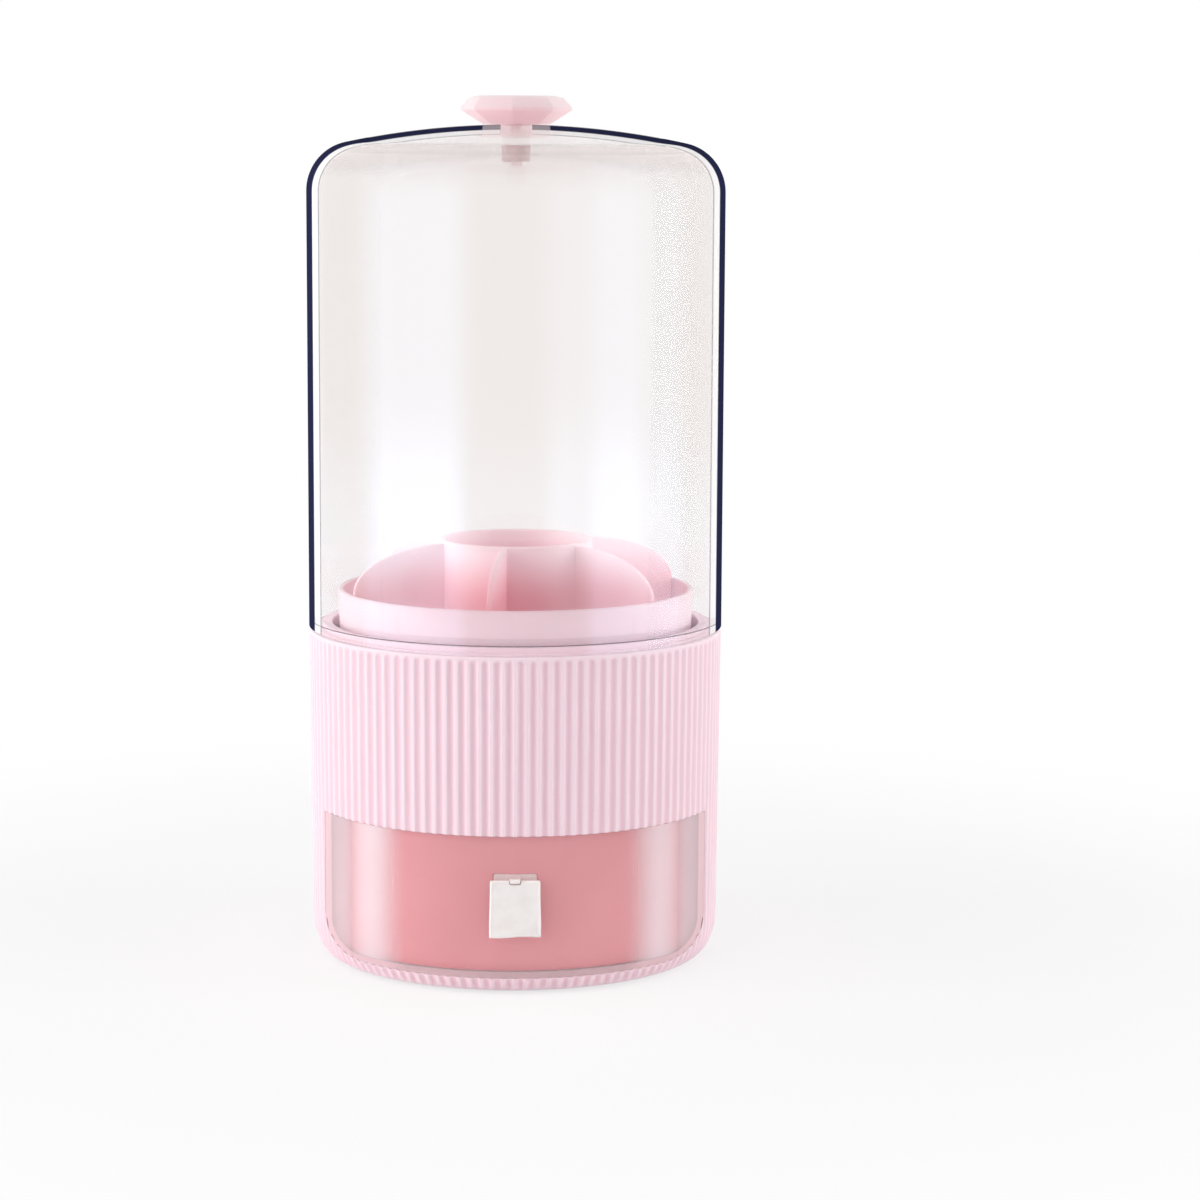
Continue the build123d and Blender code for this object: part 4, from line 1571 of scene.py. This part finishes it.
@dataclass
class Drawer:
    """The curved drawer: pink tray, clear front and the soft pull tab's anchor."""

    half_width: float = 61.33
    low_z: float = 5.67
    top_z: float = 51.33
    corner: float = 11.83
    inset: float = 0.3
    wall: float = 2.2
    return_wall: float = 2.6
    return_depth: float = 8.0
    return_length: float = 12.5
    slot_z: float = 37.4
    slot_size: tuple[float, float] = (3.7, 1.9)
    edge_round: float = 0.35
    core_bore: float = 0.5
    core_top: float = 60.0
    core_rows: Sequence[float] = (20.0, 30.0, 40.0, 60.0)
    inside_top: float = 70.0
    inside_back: float = 10.0
    post_bore: float = 0.4
    post_low: float = -5.0
    side_turn: float = 0.6

    def outline(self, shrink: float, top: float) -> list[Point]:
        """Front view of the drawer front, moved in by shrink, up to a height."""
        return tub_outline(self.half_width - shrink, self.low_z + shrink, top, self.corner - shrink)

    def core(self, name: str, body: Body, inset: float) -> bpy.types.Object:
        """Solid inside the body's outer surface moved in by inset.

        Args:
            name: The solid's name.
            body: The body whose surface it follows.
            inset: How far it stays inside.

        Returns:
            The solid, with a thin bore along the axis.
        """
        arc = body.foot_arc(inset, 20)
        rows = [(body.wall_radius(height, inset), height) for height in self.core_rows]
        return lathe(name, [(self.core_bore, arc[0][1]), *arc, *rows, (self.core_bore, self.core_top)], 384)

    def front(self, body: Body) -> bpy.types.Object:
        """The clear front with its returns, cut from turned solids."""
        wall = body.wall_radius(body.foot_top)
        back = -math.sqrt(wall**2 - self.half_width**2) + self.return_length
        face = prism("face_block", self.outline(0, self.top_z), -OUTSIDE, back)
        outline = self.outline(self.return_wall, self.inside_top)
        inside = prism("inside_block", outline, -OUTSIDE, self.inside_back)
        hollow = self.core("hollow", body, self.inset + self.wall)
        combine(hollow, [(Cut.KEEP_COMMON, inside)])
        reach, bore, low = wall - self.inset - self.return_depth, self.post_bore, self.post_low
        post = lathe("post", [(bore, low), (reach, low), (reach, OUTSIDE), (bore, OUTSIDE)])
        half, high = self.slot_size[0] / 2, self.slot_size[1] / 2
        low, top = self.slot_z - high, self.slot_z + high
        corners = [(-half, low), (half, low), (half, top), (-half, top)]
        slot = prism("slot_block", corners, -OUTSIDE, -OUTSIDE / 2)
        cuts = [(Cut.TAKE_AWAY, tool) for tool in (hollow, post, slot)]
        return combine(self.core("drawer_window", body, self.inset), [(Cut.KEEP_COMMON, face), *cuts])

    def build(self, slots: Slots, body: Body) -> None:
        """Builds and dresses everything on the drawer, whose front follows the body's surface."""
        front = soften(self.front(body), self.edge_round)
        dress(front, slots["window_outer"], slots["window_inner"], slots["window_edge"])
        for face in front.data.polygons:
            out = Vector((face.center.x, face.center.y, 0)).normalized().dot(face.normal)
            flat = Side.OUTER if out > 0 else Side.INNER
            face.material_index = (flat if abs(out) > self.side_turn else Side.EDGE).value
        settle(front, "drawer", "clear_plastic", "drawer_front")
        tray = copy_of("drawer_tray", "drawer_bin")
        settle(dress(tray, slots["drawer_plastic"]), "drawer", "drawer_plastic", "drawer_tray")
        keep_nodes(slots, "soft_white", "tab_anchor")


@dataclass
class PullTab:
    """The soft white flap that hangs from the drawer's slot.

    Its unevenness is given by amount, rate and start for a wave, and by amount, place and width for the
    rest: the bead near the rim, the pinch below the neck and the rolled edge.
    """

    width: float = 16.0
    low_z: float = 19.4
    top_z: float = 37.7
    front_y: float = -67.93
    back_y: float = -66.75
    top_gap: float = 0.2
    front_gap: float = 0.22
    wave: Sequence[float] = (0.22, 4.1, 0.6)
    slope: float = 0.35
    lift: Point = (0.6, 0.15)
    waist: Sequence[float] = (0.12, 5.0, 0.8)
    pinch: Sequence[float] = (-0.25, 0.93, 0.07)
    bead: Sequence[float] = (0.16, 0.45, 0.4)
    sag_across: Point = (0.10, 1.3)
    sag_along: Point = (0.05, 0.55)
    sag_share: float = 0.4
    roll: Point = (0.30, 0.35)
    notch_half: float = 1.9
    notch_back: float = -50.0
    notch_depth: float = 1.4
    notch_round: float = 0.5
    columns: int = 36
    rows: int = 40

    def edge(self, x: float, z: float) -> Point:
        """Moves a point of the plain rectangle to the soft one's wavy outline.

        Args:
            x: Where it is across.
            z: Its height.

        Returns:
            Its new place across and its new height.
        """
        up = (z - self.low_z) / (self.top_z - self.low_z)
        side = x / (self.width / 2)
        amount, rate, start = self.wave
        waved = amount * math.sin(side * rate + start) * (1 - up) ** 2 + self.slope * side * (1 - up) ** 2
        amount, rate, start = self.waist
        waist = amount * math.sin(up * rate + start) * side
        amount, place, width = self.pinch
        pinched = amount * max(0.0, up - place) / width * side
        return x + waist + pinched, z + waved * self.lift[0] + self.lift[1]

    def depth(self, x: float, z: float, front: bool) -> float:
        """How far out the soft sheet is: beaded near its rim, a little sagging, rolled at the edge.

        Args:
            x: Where it is across the plain rectangle.
            z: Its height there.
            front: True for the front of the sheet.

        Returns:
            The Y coordinate.
        """
        half = self.width / 2
        rim = min(half - abs(x), z - self.low_z, self.top_z - self.top_gap - z)
        amount, place, width = self.bead
        bead = amount * math.exp(-(((rim - place) / width) ** 2))
        sag = self.sag_across[0] * math.cos(x / half * self.sag_across[1])
        sag = (sag + self.sag_along[0] * math.sin(z * self.sag_along[1])) * self.sag_share
        roll = self.roll[0] * max(0.0, 1 - rim / self.roll[1]) ** 2
        if front:
            return self.front_y + self.front_gap - bead - sag + roll
        return self.back_y - sag - roll

    def flap(self) -> bpy.types.Object:
        """The flap as a thin closed sheet with a raised rim and a slightly uneven lower edge."""
        rows, columns = self.rows + 1, self.columns + 1
        points: list[tuple[float, float, float]] = []
        for front in (True, False):
            for row in range(rows):
                for column in range(columns):
                    x = -self.width / 2 + self.width * column / self.columns
                    z = self.low_z + (self.top_z - self.low_z - self.top_gap) * row / self.rows
                    moved_x, moved_z = self.edge(x, z)
                    points.append((moved_x, self.depth(x, z, front), moved_z))
        sheet = rows * columns
        sheets = zip(turned_over(quads(rows, columns)), quads(rows, columns, first=sheet))
        faces = [face for both in sheets for face in both]
        rim_loop = [*range(columns)]
        rim_loop += [row * columns + self.columns for row in range(1, rows)]
        rim_loop += [self.rows * columns + column for column in range(self.columns - 1, -1, -1)]
        rim_loop += [row * columns for row in range(self.rows - 1, 0, -1)]
        for place, here in enumerate(rim_loop):
            after = rim_loop[(place + 1) % len(rim_loop)]
            faces.append((here, here + sheet, after + sheet, after))
        low = self.top_z - self.notch_depth
        notch = tub_outline(self.notch_half, low, self.top_z + 2, self.notch_round)
        cut = (Cut.TAKE_AWAY, prism("notch_block", notch, -OUTSIDE, self.notch_back))
        return shade(combine(closed_shape("tab_flap", points, faces), [cut]))

    def build(self, slots: Slots) -> None:
        """Builds and dresses the flap."""
        settle(dress(self.flap(), slots["soft_white"]), "pull_tab", "soft_white", "pull_tab")


@dataclass
class Dome:
    """The clear domed cover with its faceted knob and the knob's stem."""

    radius: float = 67.5
    wall: float = 2.0
    foot_z: float = 108.0
    top_z: float = 270.9
    crown_radius: float = 260.0
    shoulder_round: float = 16.0
    boss_radius: float = 4.65
    boss_low: float = 258.9
    bore: float = 2.05
    columns: int = 320
    skin_rises: Sequence[float] = (0.0, 1.0, 10.0, 40.0, 80.0, 120.0)
    bend_steps: int = 24
    crown_steps: int = 40
    foot_chamfer: float = 0.4
    boss_round: float = 0.4
    boss_sink: float = 0.05
    boss_gap: float = 0.5
    bore_gap: float = 0.3
    crown_share: float = 0.976
    knob_heights: Sequence[float] = (270.9, 275.5, 276.3, 279.3, 280.0)
    knob_radii: Sequence[float] = (10.9, 18.0, 18.0, 15.2, 12.2)
    knob_sides: int = 8
    knob_turn: float = -94.1
    knob_edge: Point = (0.22, 8)

    @property
    def crown_centre(self) -> float:
        """Height of the crown's centre."""
        return self.top_z - self.crown_radius

    @property
    def bend_centre(self) -> Point:
        """Radius and height of the shoulder's centre."""
        radius = self.radius - self.shoulder_round
        reach = self.crown_radius - self.shoulder_round
        return radius, self.crown_centre + math.sqrt(reach**2 - radius**2)

    def skin(self, inset: float) -> list[Point]:
        """One surface of the dome from its foot up to the crown.

        Args:
            inset: How far inside the outer surface.

        Returns:
            Radius and height of its points, ending near the axis.
        """
        crown, bend = self.crown_radius - inset, self.shoulder_round - inset
        bend_r, bend_z = self.bend_centre
        tangent = math.atan2(bend_r, bend_z - self.crown_centre)
        points = [(self.radius - inset, self.foot_z + rise) for rise in self.skin_rises]
        for step in range(self.bend_steps + 1):
            angle = (math.pi / 2 - tangent) * step / self.bend_steps
            points.append((bend_r + bend * math.cos(angle), bend_z + bend * math.sin(angle)))
        for step in range(1, self.crown_steps + 1):
            angle = tangent * (1 - step / self.crown_steps)
            points.append((crown * math.sin(angle), self.crown_centre + crown * math.cos(angle)))
        return points

    def cover(self) -> bpy.types.Object:
        """The clear cover with its boss."""
        outer = [point for point in self.skin(0) if point[0] > self.bore + self.bore_gap]
        inner = [point for point in self.skin(self.wall) if point[0] > self.boss_radius + self.boss_gap]
        slant, foot, foot_in = self.foot_chamfer, self.foot_z, self.radius - self.wall
        base = [(foot_in, foot + slant), (foot_in + slant, foot), (self.radius - slant, foot)]
        boss_top = (self.boss_radius, self.top_z - self.wall - self.boss_sink)
        boss_foot = (self.boss_radius, self.boss_low, self.boss_round)
        boss = rounded([boss_top, boss_foot, (self.bore, self.boss_low), (self.bore, self.top_z)])
        outer[0] = (self.radius, foot + slant)
        profile = base + outer + boss[::-1] + inner[:0:-1]
        return lathe("dome_clear_cover", profile, self.columns)

    def knob(self) -> bpy.types.Object:
        """The octagonal knob with crisp facets."""
        points = []
        sides, levels = self.knob_sides, len(self.knob_heights)
        for height, radius in zip(self.knob_heights, self.knob_radii):
            for side in range(sides):
                angle = math.radians(self.knob_turn) + 2 * math.pi * side / sides
                points.append((radius * math.cos(angle), radius * math.sin(angle), height))
        faces = turned_over(quads(levels, sides, ring=True))
        faces += [range(sides), range((levels - 1) * sides, levels * sides)]
        return soften(closed_shape("knob_faceted", points, faces), *self.knob_edge)

    def side_of(self, face: bpy.types.MeshPolygon) -> Side:
        """Which kind a face of the cover is: towards the hollow, on the crown, or outside."""
        centre, half = face.center / MM, self.wall / 2
        radius = math.hypot(centre.x, centre.y)
        bend_r, bend_z = self.bend_centre
        if centre.z < bend_z:
            inner = radius < self.radius - half
        elif radius > bend_r:
            inner = math.hypot(radius - bend_r, centre.z - bend_z) < self.shoulder_round - half
        else:
            inner = math.hypot(radius, centre.z - self.crown_centre) < self.crown_radius - half
        if inner:
            return Side.INNER
        crown_edge = self.crown_centre + self.crown_radius * self.crown_share
        return Side.EDGE if centre.z > crown_edge else Side.OUTER

    def build(self, slots: Slots) -> None:
        """Builds and dresses everything on the dome."""
        cover = dress(self.cover(), slots["dome_outer"], slots["dome_inner"], slots["dome_crown"])
        for face in cover.data.polygons:
            face.material_index = self.side_of(face).value
        settle(cover, "dome", "clear_plastic", "dome_cover")
        settle(dress(self.knob(), slots["knob_plastic"]), "dome", "knob_plastic", "knob")
        keep_nodes(slots, "knob_plastic", "knob_stem")


# Studio


@dataclass
class Studio:
    """Pale floor, soft lamps and the camera at the photograph's angle."""

    floor_size: float = 4.0
    fade_start: float = 0.16
    fade_end: float = 0.42
    distance: float = 1.083
    camera_height: float = 0.2706
    lens: float = 100.0
    yaw: float = 1.465
    pitch: float = 8.1
    roll: float = 0.3
    target: Sequence[float] = (0.0, 0.0, 0.12)
    edge_gain: float = 1.4
    edge_fade: Point = (0.5, 0.25)
    floor_grey: Colour = (0.93, 0.93, 0.93)
    floor_white: float = 0.7
    air_colour: Colour = (1.0, 0.99, 0.99)
    air_aside: float = 0.8
    air_above: float = 0.42
    air_least: float = 0.13

    def floor(self) -> None:
        """A white floor that keeps the stand's shadow and runs out into the white backdrop."""
        half = self.floor_size / 2 / MM
        corners = [(-half, -half, 0), (half, -half, 0), (half, half, 0), (-half, half, 0)]
        thing = new_object("floor", corners, [(0, 1, 2, 3)])
        finish = Finish("pale_floor")
        out = finish.from_axis().ramp(self.fade_start, self.fade_end)
        share = (out * (1.0 - self.floor_white) + self.floor_white) * finish.seen()
        white = finish.node("ShaderNodeEmission", None, {"Color": WHITE, "Strength": 1.0})
        dress(thing, finish.done(finish.blend(share, finish.matt(self.floor_grey), white.outputs[0])))

    def world(self) -> None:
        """White round the stand to the eye, softer grey light on it."""
        world = bpy.data.worlds.new("studio_white")
        world.use_nodes = True
        sheet = Sheet(world.node_tree)
        world.node_tree.nodes.clear()
        aside, _, upward = sheet.parts(sheet.node("ShaderNodeTexCoord").outputs["Generated"])
        power = aside * aside * self.air_aside + upward * upward * self.air_above + self.air_least
        air = sheet.node("ShaderNodeBackground", None, {"Color": self.air_colour, "Strength": power})
        white = sheet.node("ShaderNodeBackground", None, {"Color": WHITE, "Strength": 1.0})
        both = sheet.blend(sheet.seen(), air.outputs[0], white.outputs[0])
        sheet.node("ShaderNodeOutputWorld", None, {"Surface": both})
        bpy.context.scene.world = world

    def lamp(self, name: str, place: Sequence[float], size: Point, power: float) -> None:
        """A soft rectangular lamp that points at the stand.

        Args:
            name: The lamp's name.
            place: Where it stands, in metres.
            size: Its width and height in metres.
            power: Its power in watts.
        """
        light = bpy.data.lights.new(name, "AREA")
        light.shape, light.size, light.size_y, light.energy = "RECTANGLE", size[0], size[1], power
        light.use_nodes = True
        sheet = Sheet(light.node_tree)
        light.node_tree.nodes.clear()
        spot = sheet.parts(sheet.node("ShaderNodeNewGeometry").outputs["Parametric"])
        falls = [(part - 0.5).size().ramp(*self.edge_fade) for part in spot[:2]]
        glow = sheet.node("ShaderNodeEmission", None, {"Strength": falls[0] * falls[1] * self.edge_gain})
        sheet.node("ShaderNodeOutputLight", None, {"Surface": glow.outputs[0]})
        thing = linked(name, light)
        thing.visible_transmission = thing.visible_glossy = False
        thing.location = Vector(place)
        thing.rotation_euler = (Vector(self.target) - Vector(place)).to_track_quat("-Z", "Y").to_euler()

    def camera(self) -> None:
        """The camera, a little below the crown of the dome and looking slightly down."""
        data = bpy.data.cameras.new("photo_camera")
        data.lens, data.sensor_width = self.lens, 36.0
        data.clip_start, data.clip_end = 0.05, 20.0
        thing = linked("photo_camera", data)
        thing.location = (0.0, -self.distance, self.camera_height)
        pitch, yaw = math.radians(self.pitch), math.radians(self.yaw)
        ahead = Vector((math.sin(yaw) * math.cos(pitch), math.cos(yaw) * math.cos(pitch), -math.sin(pitch)))
        turn = ahead.to_track_quat("-Z", "Y") @ Quaternion((0, 0, 1), math.radians(self.roll))
        thing.rotation_euler = turn.to_euler()
        bpy.context.scene.camera = thing

    def build(self) -> None:
        """Sets the whole studio up."""
        self.floor()
        self.world()
        self.lamp("softbox_left", (-1.25, -0.42, 0.42), (1.2, 1.3), 11.5)
        self.lamp("softbox_right", (1.27, -0.36, 0.38), (1.0, 1.2), 8.3)
        self.lamp("fill_left", (-0.85, -0.95, 0.5), (0.7, 0.9), 2.0)
        self.lamp("rim_left", (-1.1, 0.55, 0.3), (0.5, 1.2), 1.8)
        self.lamp("rim_right", (1.1, 0.6, 0.3), (0.4, 1.2), 1.3)
        self.lamp("top", (0.0, -0.3, 1.6), (0.8, 0.8), 3.5)
        self.camera()
        bpy.context.scene.view_settings.view_transform = "Standard"


def main() -> None:
    """Builds the stand's sub-assemblies in order, then the studio."""
    logging.basicConfig(level=logging.INFO, format="%(name)s: %(message)s")
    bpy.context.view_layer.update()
    palette = Palette()
    slots = {slot.name: getattr(palette, slot.name).make() for slot in fields(palette)}
    body = Body()
    body.build(slots)
    Cup().build(slots)
    BallRing().build(slots)
    Drawer().build(slots, body)
    PullTab().build(slots)
    Dome().build(slots)
    Studio().build()


if __name__ == "__main__":
    main()
